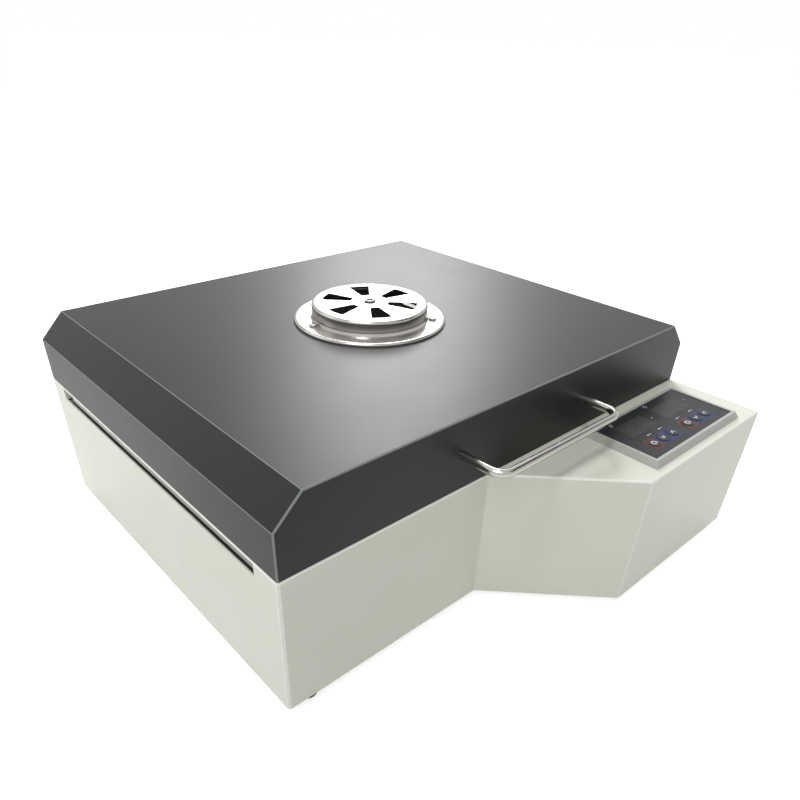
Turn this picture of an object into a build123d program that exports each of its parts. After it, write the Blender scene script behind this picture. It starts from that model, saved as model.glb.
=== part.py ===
from build123d import *
import os
from math import asin, cos, degrees, radians, sin

os.makedirs("parts", exist_ok=True)

# Tabletop curing oven for printed transfer film: a folded steel base with a control pod
# at its front right, a chamber with tubular heaters and a wire rack, and a hinged lid.
# Millimetres, +Z up. The front faces -Y, the feet stand on Z = 0, and the origin is
# under the middle of the whole oven.

# Base casing
case_width = 541.5
case_depth = 436.75
base_height = 140.0
base_sheet = 1.5
base_bend = 2.0
case_corner = 3.0
base_return = 28.0
pod_reach = 102.0
pod_width = 316.15
pod_front_width = 212.95

# Feet
foot_height = 10.0
foot_radius = 11.0
foot_tip_radius = 9.0
foot_inset_x = 28.0
foot_inset_y = 14.0
foot_screw_seat = 4.0

# Lid
lid_height = 69.0
lid_sheet = 1.5
lid_bend = 1.5
lid_setback = 0.75
lid_gap = 0.4
lid_return = 14.0
lid_chamfer_width = 26.0
lid_chamfer_height = 25.0
lid_recess = 22.0
lid_insulation_height = 36.0
lid_insulation_margin = 14.0

# Chamber
chamber_left_margin = 25.0
chamber_right_margin = 40.5
chamber_front_margin = 31.6
chamber_back_margin = 31.75
chamber_floor_height = 50.0
liner_sheet = 1.0
liner_corner_gap = 0.4
liner_flange = 8.0
insulation_thickness = 20.0
insulation_clearance = 0.3
insulation_top_gap = 1.5
bracket_width = 60.0
bracket_length = 40.0
bracket_foot = 15.0
bracket_spread_x = 300.0
bracket_spread_y = 240.0

# Film slot in the left wall, as long as the chamber is deep
slot_height = 12.5
slot_sill_drop = 1.0
slot_tab = 6.0
shield_depth = 7.6
shield_sheet = 1.0
shield_leg = 12.0
shield_clearance = 0.3
shield_back_gap = 18.0
shield_front_overlap = 5.0

# Heaters: hairpin tubes that enter through the right wall
heater_count = 3
heater_side_margin = 44.7
heater_rod_radius = 4.0
heater_leg_spacing = 44.0
heater_height = 24.0
heater_end_margin = 35.0
heater_tail = 6.0
bushing_radius = 7.0
bushing_flange_radius = 10.0
bushing_flange_thickness = 3.0
bushing_clearance = 0.2
terminal_radius = 2.0
terminal_length = 9.0
terminal_nut_radius = 3.6
terminal_nut_height = 3.0
support_sheet = 1.5
support_foot = 10.0
support_height = 32.0
support_end_margin = 20.0
support_spread = 260.0
support_clearance = 0.3

# Film rack and the ledges that carry it
ledge_leg = 12.0
ledge_sheet = 1.5
ledge_drop = 26.0
ledge_end_margin = 15.0
rack_frame_radius = 2.5
rack_wire_radius = 1.5
rack_margin = 4.0
rack_corner = 12.0
rack_wire_count = 23
rack_brace_count = 2
rack_weld = 0.6

# Temperature probe
probe_radius = 2.5
probe_reach = 60.0
probe_tail = 26.0
probe_collar_radius = 8.0
probe_collar_thickness = 3.0
probe_drop = 12.5
probe_clearance = 0.2

# Hinges
hinge_spread = 330.0
hinge_width = 60.0
hinge_leaf = 2.4
hinge_leaf_height = 30.0
hinge_knuckle_radius = 5.0
hinge_knuckle_length = 20.0
hinge_wall_gap = 0.4
hinge_side_gap = 0.3
hinge_pin_radius = 2.5
hinge_pin_clearance = 0.05
hinge_screw_spacing = 36.0
hinge_screw_rise = 20.0
lid_travel = 100.0
stop_thickness = 3.0
stop_width = 16.0
stop_gap = 0.15

# Handle
handle_rod_radius = 4.0
handle_span = 168.0
handle_reach = 43.0
handle_bend = 13.0
handle_rise = 34.0
handle_bore_depth = 14.0

# Vent in the lid
vent_flange_radius = 80.0
vent_flange_height = 3.6
vent_flange_roll = 2.4
vent_sheet = 1.0
vent_shoulder_height = 6.4
vent_ramp_width = 1.2
vent_cap_radius = 61.0
vent_cap_height = 18.4
vent_cap_round = 3.0
vent_cap_lift = 0.5
vent_fit = 0.2
window_count = 6
window_inner_radius = 19.5
window_outer_radius = 50.0
window_half_angle = 12.8
window_corner = 1.2
window_start_angle = 4.0
vent_screw_circle = 66.8
vent_screw_angles = (-49.0, 60.5, 170.0)
shutter_radius = 57.0
shutter_sheet = 0.8
shutter_gap = 0.3
tongue_width = 8.0
tongue_tip_radius = 34.8
tongue_rise = 4.2
tongue_stop_gap = 0.4
rivet_radius = 2.0
rivet_clearance = 0.05
rivet_head_radius = 6.0
rivet_head_height = 1.6
rivet_dimple_radius = 3.4
rivet_dimple_depth = 0.9
rivet_tail_radius = 4.5
rivet_tail_height = 1.2
duct_radius = 52.0
duct_rise = 2.0
duct_flange = 10.0
duct_clearance = 0.5

# Control unit in the top of the pod
panel_width = 160.0
panel_depth = 80.0
panel_inset_x = 111.65
panel_offset_y = 54.0
bezel_height = 6.5
bezel_slope = 3.2
bezel_rim = 3.0
bezel_edge = 0.8
face_recess = 0.7
face_thickness = 2.0
panel_clearance = 0.15
housing_margin_x = 4.75
housing_margin_y = 2.5
housing_drop = 60.0
housing_wall = 2.0
housing_ledge = 2.0
cutout_clearance = 0.6
board_drop = 7.0
board_thickness = 1.6
display_width = 47.0
display_depth = 23.0
display_offset = 31.8
display_rise = 12.5
display_module_height = 7.5
key_radius = 6.5
key_pitch = 16.9
key_row_drop = 16.5
key_proud = 0.7
key_travel = 0.6
key_side_gap = 0.15
key_rim = 1.0
key_rim_thickness = 0.6
key_stem_radius = 1.8
key_edge = 0.5
tact_width = 6.0
tact_height = 3.6
clip_width = 22.0
clip_height = 34.0
clip_foot = 9.0
clip_sheet = 1.5

# Electrical parts in the pod
sink_width = 80.0
sink_depth = 50.0
sink_base = 4.0
sink_fin_height = 15.0
sink_fin_thickness = 2.0
sink_fin_count = 7
relay_width = 45.0
relay_depth = 38.0
relay_height = 23.0
relay_screw_spread = 30.0
relay_screw_gap = 19.0
relay_inset_x = 120.75
relay_offset_y = 52.0
terminal_block_width = 62.0
terminal_block_depth = 22.0
terminal_block_height = 18.0
terminal_block_ways = 6
terminal_screw_gap = 11.0
terminal_groove_width = 1.6
terminal_groove_depth = 7.0
terminal_block_inset_x = 230.75
terminal_block_offset_y = 30.0

# Power inlet and rocker switch in the right wall of the pod
inlet_offset_y = 66.0
inlet_rise = 42.0
inlet_flange_width = 50.0
inlet_flange_height = 28.0
inlet_flange_thickness = 2.5
inlet_body_width = 27.0
inlet_body_height = 20.0
inlet_body_depth = 20.0
inlet_socket_width = 24.0
inlet_socket_height = 16.4
inlet_socket_depth = 16.0
inlet_socket_corner = 5.0
inlet_screw_spacing = 40.0
inlet_pin_width = 2.0
inlet_pin_height = 4.0
inlet_pin_length = 10.0
inlet_pin_spacing = 7.0
switch_offset_y = 20.0
switch_bezel_width = 22.0
switch_bezel_height = 31.0
switch_bezel_thickness = 2.0
switch_body_width = 19.0
switch_body_height = 28.0
switch_body_depth = 20.0
switch_cavity_depth = 12.0
rocker_width = 13.0
rocker_height = 22.4
rocker_waist = 4.6
rocker_crest = 6.2
rocker_root = 3.0
rocker_pivot_depth = 3.0
rocker_half_throw = 9.0
rocker_gap = 0.4
rocker_pin_radius = 1.5
rocker_pin_length = 1.5
rocker_pin_clearance = 0.05

# Bottom plate
plate_sheet = 1.2
plate_clearance = 0.5
vent_slot_length = 40.0
vent_slot_width = 4.0
vent_slot_pitch = 9.0
vent_slot_count = 10
plate_screw_inset = 18.0
plate_screw_setback = 60.0
pod_screw_setback = 40.0

# Screws
screw_radius = 2.0
screw_clearance = 0.25
screw_head_radius = 4.0
screw_head_height = 2.4
screw_length = 8.0
foot_screw_length = 12.0
recess_width = 0.9
recess_depth = 1.1
recess_share = 1.1
small_screw_radius = 1.5
small_head_radius = 2.8
small_head_height = 1.6
flat_head_radius = 3.8
flat_head_angle = 90.0

BASE_DOWN = (Align.CENTER, Align.CENTER, Align.MIN)
TOP_UP = (Align.CENTER, Align.CENTER, Align.MAX)
FLOOR_UP = (Align.CENTER, Align.MIN)

# Levels and edges that follow from the sizes
hinge_axis_offset = hinge_knuckle_radius + hinge_wall_gap
over_travel = radians(lid_travel - 90.0)
stop_face = hinge_axis_offset - hinge_leaf
stop_reach = (stop_face - stop_gap - stop_thickness / 2 * cos(over_travel)) / sin(over_travel)
rocker_tilt = radians(rocker_half_throw)
rocker_peak = rocker_crest * cos(rocker_tilt) + rocker_height / 2 * sin(rocker_tilt)
side_reach = rocker_peak - rocker_pivot_depth
overall_width = case_width + side_reach
overall_depth = pod_reach + case_depth + hinge_axis_offset + stop_reach
left_x = -overall_width / 2
right_x = left_x + case_width
centre_x = left_x + case_width / 2
pod_front_y = -overall_depth / 2
front_y = pod_front_y + pod_reach
back_y = front_y + case_depth
pod_root_x = right_x - pod_width
pod_corner_x = right_x - pod_front_width
base_bottom_z = foot_height
base_top_z = base_bottom_z + base_height
flange_under_z = base_top_z - base_sheet
lid_bottom_z = base_top_z + lid_gap
lid_top_z = base_top_z + lid_height
lid_left_x = left_x + lid_setback
lid_right_x = right_x - lid_setback
lid_front_y = front_y + lid_setback
lid_back_y = back_y
lid_width = lid_right_x - lid_left_x
lid_depth = lid_back_y - lid_front_y
lid_centre_y = (lid_front_y + lid_back_y) / 2
chamber_left_x = left_x + chamber_left_margin
chamber_right_x = right_x - chamber_right_margin
chamber_front_y = front_y + chamber_front_margin
chamber_back_y = back_y - chamber_back_margin
chamber_width = chamber_right_x - chamber_left_x
chamber_depth = chamber_back_y - chamber_front_y
chamber_x = (chamber_left_x + chamber_right_x) / 2
chamber_y = (chamber_front_y + chamber_back_y) / 2
chamber_floor_z = base_bottom_z + chamber_floor_height
slot_bottom_z = flange_under_z - slot_height
sill_z = slot_bottom_z - slot_sill_drop
plate_under_z = base_bottom_z + base_sheet
plate_top_z = plate_under_z + plate_sheet
vent_x = centre_x
vent_y = lid_centre_y
panel_x = right_x - panel_inset_x
panel_y = lid_front_y - panel_offset_y
housing_width = panel_width - 2 * housing_margin_x
housing_depth = panel_depth - 2 * housing_margin_y
heater_run = chamber_depth - heater_leg_spacing - 2 * heater_side_margin
heater_pitch = heater_run / (heater_count - 1)


def save(piece, name):
    """Name a finished piece and write it."""
    piece.part.label = name
    export_step(piece.part, f"parts/{name}.step")


def seat(x, y, z, direction):
    """A plane on which a fastener's head sits, with its normal along the head."""
    return Plane(origin=(x, y, z), z_dir=direction)


def pan_screws(seats, shank_length, radius=screw_radius, head=screw_head_radius,
               height=screw_head_height):
    """Pan-head screws with cross recesses, whose heads stand on the given seats."""
    with BuildPart() as screws:
        with Locations(*seats):
            Cylinder(head, height, align=BASE_DOWN)
            Cylinder(radius, shank_length, align=TOP_UP)
        crowns = screws.edges().filter_by(GeomType.CIRCLE)
        rims = [edge for edge in crowns if abs(edge.radius - head) < 0.01]
        outer = [edge for edge in rims if stands_proud(edge, seats, height)]
        fillet(outer, height * 0.45)
        with Locations(*[plane.offset(height) for plane in seats]):
            for turn in (0, 90):
                Box(head * recess_share, recess_width, recess_depth, rotation=(0, 0, turn),
                    align=TOP_UP, mode=Mode.SUBTRACT)
    return screws


def stands_proud(edge, seats, height):
    """True for a head's outer rim, which lies one head height off its seat."""
    centre = edge.arc_center
    return any(abs((centre - plane.origin).dot(plane.z_dir) - height) < 0.01
               and (centre - plane.origin).length < height + 0.01 for plane in seats)


def case_outline(inset=0.0):
    """Plan of the case and its pod, drawn in by an inset."""
    with BuildSketch() as plan:
        with BuildLine():
            Polyline((left_x, back_y), (left_x, front_y), (pod_root_x, front_y),
                     (pod_corner_x, pod_front_y), (right_x, pod_front_y), (right_x, back_y),
                     close=True)
        make_face()
        if inset:
            offset(amount=-inset, kind=Kind.INTERSECTION)
    return plan.sketch


def keep_stretch(low, high):
    """Keep only what lies between two opposite corners."""
    spans = [top - bottom for bottom, top in zip(low, high)]
    with Locations(tuple((bottom + top) / 2 for bottom, top in zip(low, high))):
        Box(*spans, mode=Mode.INTERSECT)


def lid_profile(inset=0.0):
    """End view of the lid, with a chamfer along each side, drawn in by an inset."""
    shoulder_z = lid_top_z - lid_chamfer_height
    with BuildSketch() as profile:
        with BuildLine():
            Polyline((lid_left_x, lid_bottom_z), (lid_left_x, shoulder_z),
                     (lid_left_x + lid_chamfer_width, lid_top_z),
                     (lid_right_x - lid_chamfer_width, lid_top_z),
                     (lid_right_x, shoulder_z), (lid_right_x, lid_bottom_z), close=True)
        make_face()
        if inset:
            offset(amount=-inset, kind=Kind.INTERSECTION)
    return profile.sketch


def open_corners(bottom_z):
    """Part the walls of a pan over or under the chamber from each other at its corners."""
    inner = chamber_depth / 2 - liner_corner_gap / 2
    with Locations(*[(chamber_x, chamber_y + side * inner, bottom_z) for side in (-1, 1)]):
        Box(2 * case_width, liner_corner_gap, base_height, align=BASE_DOWN, mode=Mode.SUBTRACT)


# Feet stand under the corners of the case
foot_spots = [(x, y) for x in (left_x + foot_inset_x, right_x - foot_inset_x)
              for y in (front_y + foot_inset_y, back_y - foot_inset_y)]
plate_spots = [(left_x + plate_screw_inset, lid_centre_y),
               (right_x - plate_screw_inset, lid_centre_y),
               (centre_x, back_y - plate_screw_inset),
               (pod_root_x - plate_screw_setback, front_y + plate_screw_inset),
               (pod_corner_x + pod_screw_setback, pod_front_y + plate_screw_inset),
               (right_x - plate_screw_inset, pod_front_y + plate_screw_inset)]
hinge_spots = [centre_x - hinge_spread / 2, centre_x + hinge_spread / 2]
hinge_screw_xs = [x + side * hinge_screw_spacing / 2 for x in hinge_spots for side in (-1, 1)]
hole_radius = screw_radius + screw_clearance
inlet_y = front_y - inlet_offset_y
inlet_z = base_bottom_z + inlet_rise
switch_y = front_y - switch_offset_y
inlet_screw_ys = (inlet_y - inlet_screw_spacing / 2, inlet_y + inlet_screw_spacing / 2)
cutout_width = housing_width + 2 * cutout_clearance
cutout_depth = housing_depth + 2 * cutout_clearance

# The case is folded as one form and then parted into the five panels it is welded from
with BuildPart() as whole_case:
    with BuildSketch(Plane.XY.offset(base_bottom_z)):
        add(case_outline())
    extrude(amount=base_height)
    fillet(whole_case.edges().filter_by(Axis.Z), case_corner)
    fillet(whole_case.faces().sort_by(Axis.Z)[-1].edges(), base_bend)
    with BuildSketch(Plane.XY.offset(base_bottom_z + base_sheet)):
        add(case_outline(base_sheet))
    extrude(amount=base_height - 2 * base_sheet, mode=Mode.SUBTRACT)
    # The bottom is open inside a return flange, and the top above the chamber
    with BuildSketch(Plane.XY.offset(base_bottom_z)):
        add(case_outline(base_return))
    extrude(amount=base_sheet, mode=Mode.SUBTRACT)
    with BuildSketch(Plane.XY.offset(flange_under_z)):
        with Locations((chamber_x, chamber_y)):
            Rectangle(chamber_width, chamber_depth)
        with Locations((panel_x, panel_y)):
            Rectangle(cutout_width, cutout_depth)
    extrude(amount=base_sheet, mode=Mode.SUBTRACT)
    # Film slot below the top flange, with a folded tab at its back end
    with BuildSketch(Plane.YZ.offset(left_x)):
        with Locations((chamber_y, slot_bottom_z + slot_height / 2)):
            Rectangle(chamber_depth, slot_height)
    extrude(amount=base_sheet, mode=Mode.SUBTRACT)
    with BuildSketch(Plane.YZ.offset(left_x)):
        with Locations((chamber_back_y + base_sheet / 2, slot_bottom_z + slot_height / 2)):
            Rectangle(base_sheet, slot_height)
    extrude(amount=slot_tab)
    with BuildSketch(Plane.YZ.offset(right_x)):
        with Locations((inlet_y, inlet_z)):
            Rectangle(inlet_body_width + 2 * panel_clearance,
                      inlet_body_height + 2 * panel_clearance)
        with Locations((switch_y, inlet_z)):
            Rectangle(switch_body_width + 2 * panel_clearance,
                      switch_body_height + 2 * panel_clearance)
        with Locations(*[(y, inlet_z) for y in inlet_screw_ys]):
            Circle(small_screw_radius + screw_clearance)
    extrude(amount=-base_sheet, mode=Mode.SUBTRACT)
    with BuildSketch(Plane.XZ.offset(-back_y)):
        with Locations(*[(x, base_top_z - hinge_screw_rise) for x in hinge_screw_xs]):
            Circle(hole_radius)
    extrude(amount=base_sheet, mode=Mode.SUBTRACT)
    with BuildSketch(Plane.XY.offset(base_bottom_z)):
        with Locations(*foot_spots, *plate_spots):
            Circle(hole_radius)
    extrude(amount=base_sheet, mode=Mode.SUBTRACT)

# Front, with all of the pod but its right wall
with BuildPart() as base_casing:
    add(whole_case.part)
    keep_stretch((left_x, pod_front_y, base_bottom_z),
                 (right_x - case_corner, chamber_front_y, base_top_z))
save(base_casing, "base_casing")

# Right wall of the pod, with the cut-outs for inlet and switch
with BuildPart() as pod_side_panel:
    add(whole_case.part)
    keep_stretch((right_x - case_corner, pod_front_y, base_bottom_z),
                 (right_x, chamber_front_y, base_top_z))
save(pod_side_panel, "pod_side_panel")

# Left wall below the film slot, and the rail above the slot
with BuildPart() as left_side_panel:
    add(whole_case.part)
    keep_stretch((left_x, chamber_front_y, base_bottom_z),
                 (centre_x, chamber_back_y, base_top_z))
save(left_side_panel, "left_side_panel")

with BuildPart() as right_side_panel:
    add(whole_case.part)
    keep_stretch((centre_x, chamber_front_y, base_bottom_z),
                 (right_x, chamber_back_y, base_top_z))
save(right_side_panel, "right_side_panel")

# Back wall with both back corners and the tab at the slot's back end
with BuildPart() as back_panel:
    add(whole_case.part)
    keep_stretch((left_x, chamber_back_y, base_bottom_z), (right_x, back_y, base_top_z))
save(back_panel, "back_panel")

with BuildPart() as bottom_plate:
    with BuildSketch(Plane.XY.offset(plate_under_z)):
        add(case_outline(base_sheet + plate_clearance))
        with Locations(*foot_spots, *plate_spots):
            Circle(hole_radius, mode=Mode.SUBTRACT)
        with Locations((pod_corner_x + (right_x - pod_corner_x) / 2, front_y - pod_reach / 2)):
            with GridLocations(vent_slot_pitch, 1, vent_slot_count, 1):
                SlotOverall(vent_slot_length, vent_slot_width, rotation=90,
                            mode=Mode.SUBTRACT)
    extrude(amount=plate_sheet)
save(bottom_plate, "bottom_plate")

bottom_plate_screws = pan_screws([seat(x, y, base_bottom_z, (0, 0, -1))
                                  for x, y in plate_spots], screw_length)
save(bottom_plate_screws, "bottom_plate_screws")

# Rubber feet, each a blunt cone round a sunk screw
with BuildPart() as rubber_feet:
    with Locations(*[seat(x, y, 0, (0, 0, 1)) for x, y in foot_spots]):
        Cone(foot_tip_radius, foot_radius, foot_height, align=BASE_DOWN)
        Cylinder(screw_head_radius + 0.4, foot_screw_seat, align=BASE_DOWN, mode=Mode.SUBTRACT)
        Cylinder(hole_radius, foot_height, align=BASE_DOWN, mode=Mode.SUBTRACT)
save(rubber_feet, "rubber_feet")

foot_screws = pan_screws([seat(x, y, foot_screw_seat, (0, 0, -1)) for x, y in foot_spots],
                         foot_screw_length)
save(foot_screws, "foot_screws")

# Chamber liner: a bare steel pan that hangs below the case's top flange, a floor with
# four walls that leave its corners open by a hairline. Its left wall stops at the film
# slot, where a sill runs out to the case wall.
heater_ys = [chamber_y + (index - (heater_count - 1) / 2) * heater_pitch
             for index in range(heater_count)]
leg_ys = [y + side * heater_leg_spacing / 2 for y in heater_ys for side in (-1, 1)]
heater_z = chamber_floor_z + liner_sheet + heater_height
liner_right_x = chamber_right_x + liner_sheet
ledge_top_z = flange_under_z - ledge_drop
probe_y = heater_ys[-1]
probe_z = ledge_top_z - probe_drop
insulation_right_x = liner_right_x + insulation_clearance + insulation_thickness

with BuildPart() as chamber_liner:
    with BuildSketch(Plane.XY.offset(chamber_floor_z)):
        with Locations((chamber_x, chamber_y)):
            Rectangle(chamber_width + 2 * liner_sheet, chamber_depth + 2 * liner_sheet)
    extrude(amount=liner_sheet)
save(chamber_liner, "chamber_liner")

with BuildPart() as chamber_walls:
    with BuildSketch(Plane.XY.offset(chamber_floor_z + liner_sheet)):
        with Locations((chamber_x, chamber_y)):
            Rectangle(chamber_width + 2 * liner_sheet, chamber_depth + 2 * liner_sheet)
    extrude(amount=flange_under_z - chamber_floor_z - liner_sheet)
    with BuildSketch(Plane.XY.offset(flange_under_z)):
        with Locations((chamber_x, chamber_y)):
            Rectangle(chamber_width + 2 * liner_flange, chamber_depth + 2 * liner_flange)
    extrude(amount=-liner_sheet)
    with BuildSketch(Plane.XY.offset(chamber_floor_z + liner_sheet)):
        with Locations((chamber_x, chamber_y)):
            Rectangle(chamber_width, chamber_depth)
    extrude(amount=base_height, mode=Mode.SUBTRACT)
    with BuildSketch(Plane.XY.offset(sill_z)):
        with Locations((chamber_left_x, chamber_y)):
            Rectangle(chamber_left_margin, chamber_depth + 2 * liner_flange,
                      align=(Align.MAX, Align.CENTER))
    extrude(amount=base_height, mode=Mode.SUBTRACT)
    with BuildSketch(Plane.XY.offset(sill_z)):
        with Locations((left_x + base_sheet + plate_clearance, chamber_y)):
            Rectangle(chamber_left_x - left_x - base_sheet - plate_clearance,
                      chamber_depth + 2 * liner_sheet, align=(Align.MIN, Align.CENTER))
    extrude(amount=-liner_sheet)
    with BuildSketch(Plane.YZ.offset(chamber_right_x)):
        with Locations(*[(y, heater_z) for y in leg_ys]):
            Circle(bushing_radius + bushing_clearance)
        with Locations((probe_y, probe_z)):
            Circle(probe_radius + probe_clearance)
    extrude(amount=liner_sheet, mode=Mode.SUBTRACT)
    open_corners(chamber_floor_z)
save(chamber_walls, "chamber_walls")

# Ceramic fibre lagging round the pan, open above
with BuildPart() as chamber_insulation:
    lag_width = chamber_width + 2 * (liner_sheet + insulation_clearance + insulation_thickness)
    lag_depth = chamber_depth + 2 * (liner_sheet + insulation_clearance + insulation_thickness)
    lag_bottom_z = chamber_floor_z - insulation_clearance - insulation_thickness
    lag_top_z = sill_z - liner_sheet - insulation_top_gap
    with BuildSketch(Plane.XY.offset(lag_bottom_z)):
        with Locations((chamber_x, chamber_y)):
            RectangleRounded(lag_width, lag_depth, case_corner)
    extrude(amount=lag_top_z - lag_bottom_z)
    with BuildSketch(Plane.XY.offset(chamber_floor_z - insulation_clearance)):
        with Locations((chamber_x, chamber_y)):
            Rectangle(lag_width - 2 * insulation_thickness, lag_depth - 2 * insulation_thickness)
    extrude(amount=base_height, mode=Mode.SUBTRACT)
    with BuildSketch(Plane.YZ.offset(liner_right_x)):
        with Locations(*[(y, heater_z) for y in leg_ys]):
            Circle(bushing_radius + bushing_clearance)
        with Locations((probe_y, probe_z)):
            Circle(probe_radius + probe_clearance)
    extrude(amount=insulation_thickness + 1, mode=Mode.SUBTRACT)
save(chamber_insulation, "chamber_insulation")

# Four hat-shaped brackets carry the lagging and the pan above the bottom plate
with BuildPart() as chamber_brackets:
    bracket_height = lag_bottom_z - plate_top_z
    with BuildSketch(Plane.XZ.offset(-chamber_y)):
        with Locations((chamber_x, plate_top_z)):
            with GridLocations(bracket_spread_x, 1, 2, 1):
                Rectangle(bracket_width + 2 * bracket_foot, base_sheet, align=FLOOR_UP)
                Rectangle(bracket_width, bracket_height, align=FLOOR_UP)
                Rectangle(bracket_width - 2 * base_sheet, bracket_height - base_sheet,
                          align=FLOOR_UP, mode=Mode.SUBTRACT)
    extrude(amount=(bracket_spread_y + bracket_length) / 2, both=True)
    with Locations((chamber_x, chamber_y, plate_top_z)):
        Box(chamber_width, bracket_spread_y - bracket_length, bracket_height, align=BASE_DOWN,
            mode=Mode.SUBTRACT)
save(chamber_brackets, "chamber_brackets")

# Strip behind the film slot that screens its upper half
with BuildPart() as slot_shield:
    shield_x = left_x + base_sheet + shield_clearance
    shield_front_y = chamber_front_y - shield_front_overlap
    with BuildSketch(Plane.XZ.offset(-shield_front_y)):
        with BuildLine():
            Polyline((shield_x, flange_under_z), (shield_x, flange_under_z - shield_depth),
                     (shield_x + shield_sheet, flange_under_z - shield_depth),
                     (shield_x + shield_sheet, flange_under_z - shield_sheet),
                     (shield_x + shield_leg, flange_under_z - shield_sheet),
                     (shield_x + shield_leg, flange_under_z), close=True)
        make_face()
    extrude(amount=-(chamber_back_y - shield_back_gap - shield_front_y))
save(slot_shield, "slot_shield")

# Hairpin heaters: two legs along X, joined by a half turn at the left
turn_x = chamber_left_x + heater_end_margin + heater_leg_spacing / 2
heater_end_x = insulation_right_x + heater_tail
with BuildPart() as heater_tubes:
    for y in heater_ys:
        near = y - heater_leg_spacing / 2
        with BuildLine() as hairpin:
            lower = Line((heater_end_x, near, heater_z), (turn_x, near, heater_z))
            turn = ThreePointArc((turn_x, near, heater_z),
                                 (turn_x - heater_leg_spacing / 2, y, heater_z),
                                 (turn_x, near + heater_leg_spacing, heater_z))
            upper = Line(turn @ 1, (heater_end_x, near + heater_leg_spacing, heater_z))
        with BuildSketch(Plane(origin=lower @ 0, z_dir=lower % 0)):
            Circle(heater_rod_radius)
        sweep(path=hairpin.line)
save(heater_tubes, "heater_tubes")

bushing_seats = [Plane(origin=(chamber_right_x, y, heater_z), z_dir=(1, 0, 0)) for y in leg_ys]
with BuildPart() as heater_bushings:
    with Locations(*bushing_seats):
        Cylinder(bushing_flange_radius, bushing_flange_thickness, align=TOP_UP)
        Cylinder(bushing_radius, insulation_right_x - chamber_right_x, align=BASE_DOWN)
        Cylinder(heater_rod_radius + bushing_clearance, 4 * insulation_thickness,
                 mode=Mode.SUBTRACT)
save(heater_bushings, "heater_bushings")

with BuildPart() as heater_terminals:
    with Locations(*[Plane(origin=(heater_end_x, y, heater_z), z_dir=(1, 0, 0)) for y in leg_ys]):
        Cylinder(terminal_radius, terminal_length, align=BASE_DOWN)
    with BuildSketch(Plane.YZ.offset(heater_end_x + terminal_nut_height / 2)):
        with Locations(*[(y, heater_z) for y in leg_ys]):
            RegularPolygon(terminal_nut_radius, 6)
    extrude(amount=terminal_nut_height)
save(heater_terminals, "heater_terminals")

# Folded strips that stand on the pan's floor and carry the hairpins
floor_z = chamber_floor_z + liner_sheet
with BuildPart() as heater_supports:
    for side in (-1, 1):
        strip_x = chamber_x + side * support_spread / 2
        with BuildSketch(Plane.YZ.offset(strip_x)):
            with Locations((chamber_y, floor_z)):
                Rectangle(chamber_depth - 2 * support_end_margin, support_height,
                          align=(Align.CENTER, Align.MIN))
            with Locations(*[(y, heater_z) for y in leg_ys]):
                Circle(heater_rod_radius + support_clearance, mode=Mode.SUBTRACT)
        extrude(amount=support_sheet)
        with BuildSketch(Plane.XY.offset(floor_z)):
            with Locations((strip_x, chamber_y)):
                Rectangle(support_foot, chamber_depth - 2 * support_end_margin,
                          align=(Align.MIN, Align.CENTER))
        extrude(amount=support_sheet)
save(heater_supports, "heater_supports")

# Ledges along the front and back walls, with the wire rack lying on them
rack_z = ledge_top_z + rack_frame_radius
with BuildPart() as rack_ledges:
    for wall_y, side in ((chamber_front_y, 1), (chamber_back_y, -1)):
        with BuildSketch(Plane.YZ.offset(chamber_left_x + ledge_end_margin)):
            with BuildLine():
                Polyline((wall_y, ledge_top_z), (wall_y + side * ledge_leg, ledge_top_z),
                         (wall_y + side * ledge_leg, ledge_top_z - ledge_sheet),
                         (wall_y + side * ledge_sheet, ledge_top_z - ledge_sheet),
                         (wall_y + side * ledge_sheet, ledge_top_z - ledge_leg),
                         (wall_y, ledge_top_z - ledge_leg), close=True)
            make_face()
        extrude(amount=chamber_width - 2 * ledge_end_margin)
save(rack_ledges, "rack_ledges")

with BuildPart() as film_rack:
    rack_half_x = chamber_width / 2 - rack_margin - rack_frame_radius
    rack_half_y = chamber_depth / 2 - rack_margin - rack_frame_radius
    brace_z = rack_z + rack_frame_radius + rack_wire_radius - rack_weld
    brace_pitch = 2 * rack_half_y / (rack_brace_count + 1)
    wire_pitch = 2 * rack_half_x / (rack_wire_count + 1)
    with BuildLine() as rack_loop:
        FilletPolyline((chamber_x + rack_half_x, chamber_y - rack_half_y, rack_z),
                       (chamber_x + rack_half_x, chamber_y + rack_half_y, rack_z),
                       (chamber_x - rack_half_x, chamber_y + rack_half_y, rack_z),
                       (chamber_x - rack_half_x, chamber_y - rack_half_y, rack_z),
                       radius=rack_corner, close=True)
    with BuildSketch(Plane(origin=rack_loop.line @ 0, z_dir=rack_loop.line % 0)):
        Circle(rack_frame_radius)
    sweep(path=rack_loop.line)
    with Locations((chamber_x, chamber_y, brace_z)):
        with GridLocations(wire_pitch, 1, rack_wire_count, 1):
            Cylinder(rack_wire_radius, 2 * rack_half_y, rotation=(90, 0, 0))
    with Locations((chamber_x, chamber_y, rack_z + rack_frame_radius - rack_wire_radius)):
        with GridLocations(1, brace_pitch, 1, rack_brace_count):
            Cylinder(rack_wire_radius, 2 * rack_half_x, rotation=(0, 90, 0))
save(film_rack, "film_rack")

with BuildPart() as temperature_probe:
    with Locations(Plane(origin=(chamber_right_x, probe_y, probe_z), z_dir=(1, 0, 0))):
        Cylinder(probe_radius, probe_reach, align=TOP_UP)
        Cylinder(probe_collar_radius, probe_collar_thickness, align=TOP_UP)
        Cylinder(probe_radius, probe_tail, align=BASE_DOWN)
save(temperature_probe, "temperature_probe")

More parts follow.
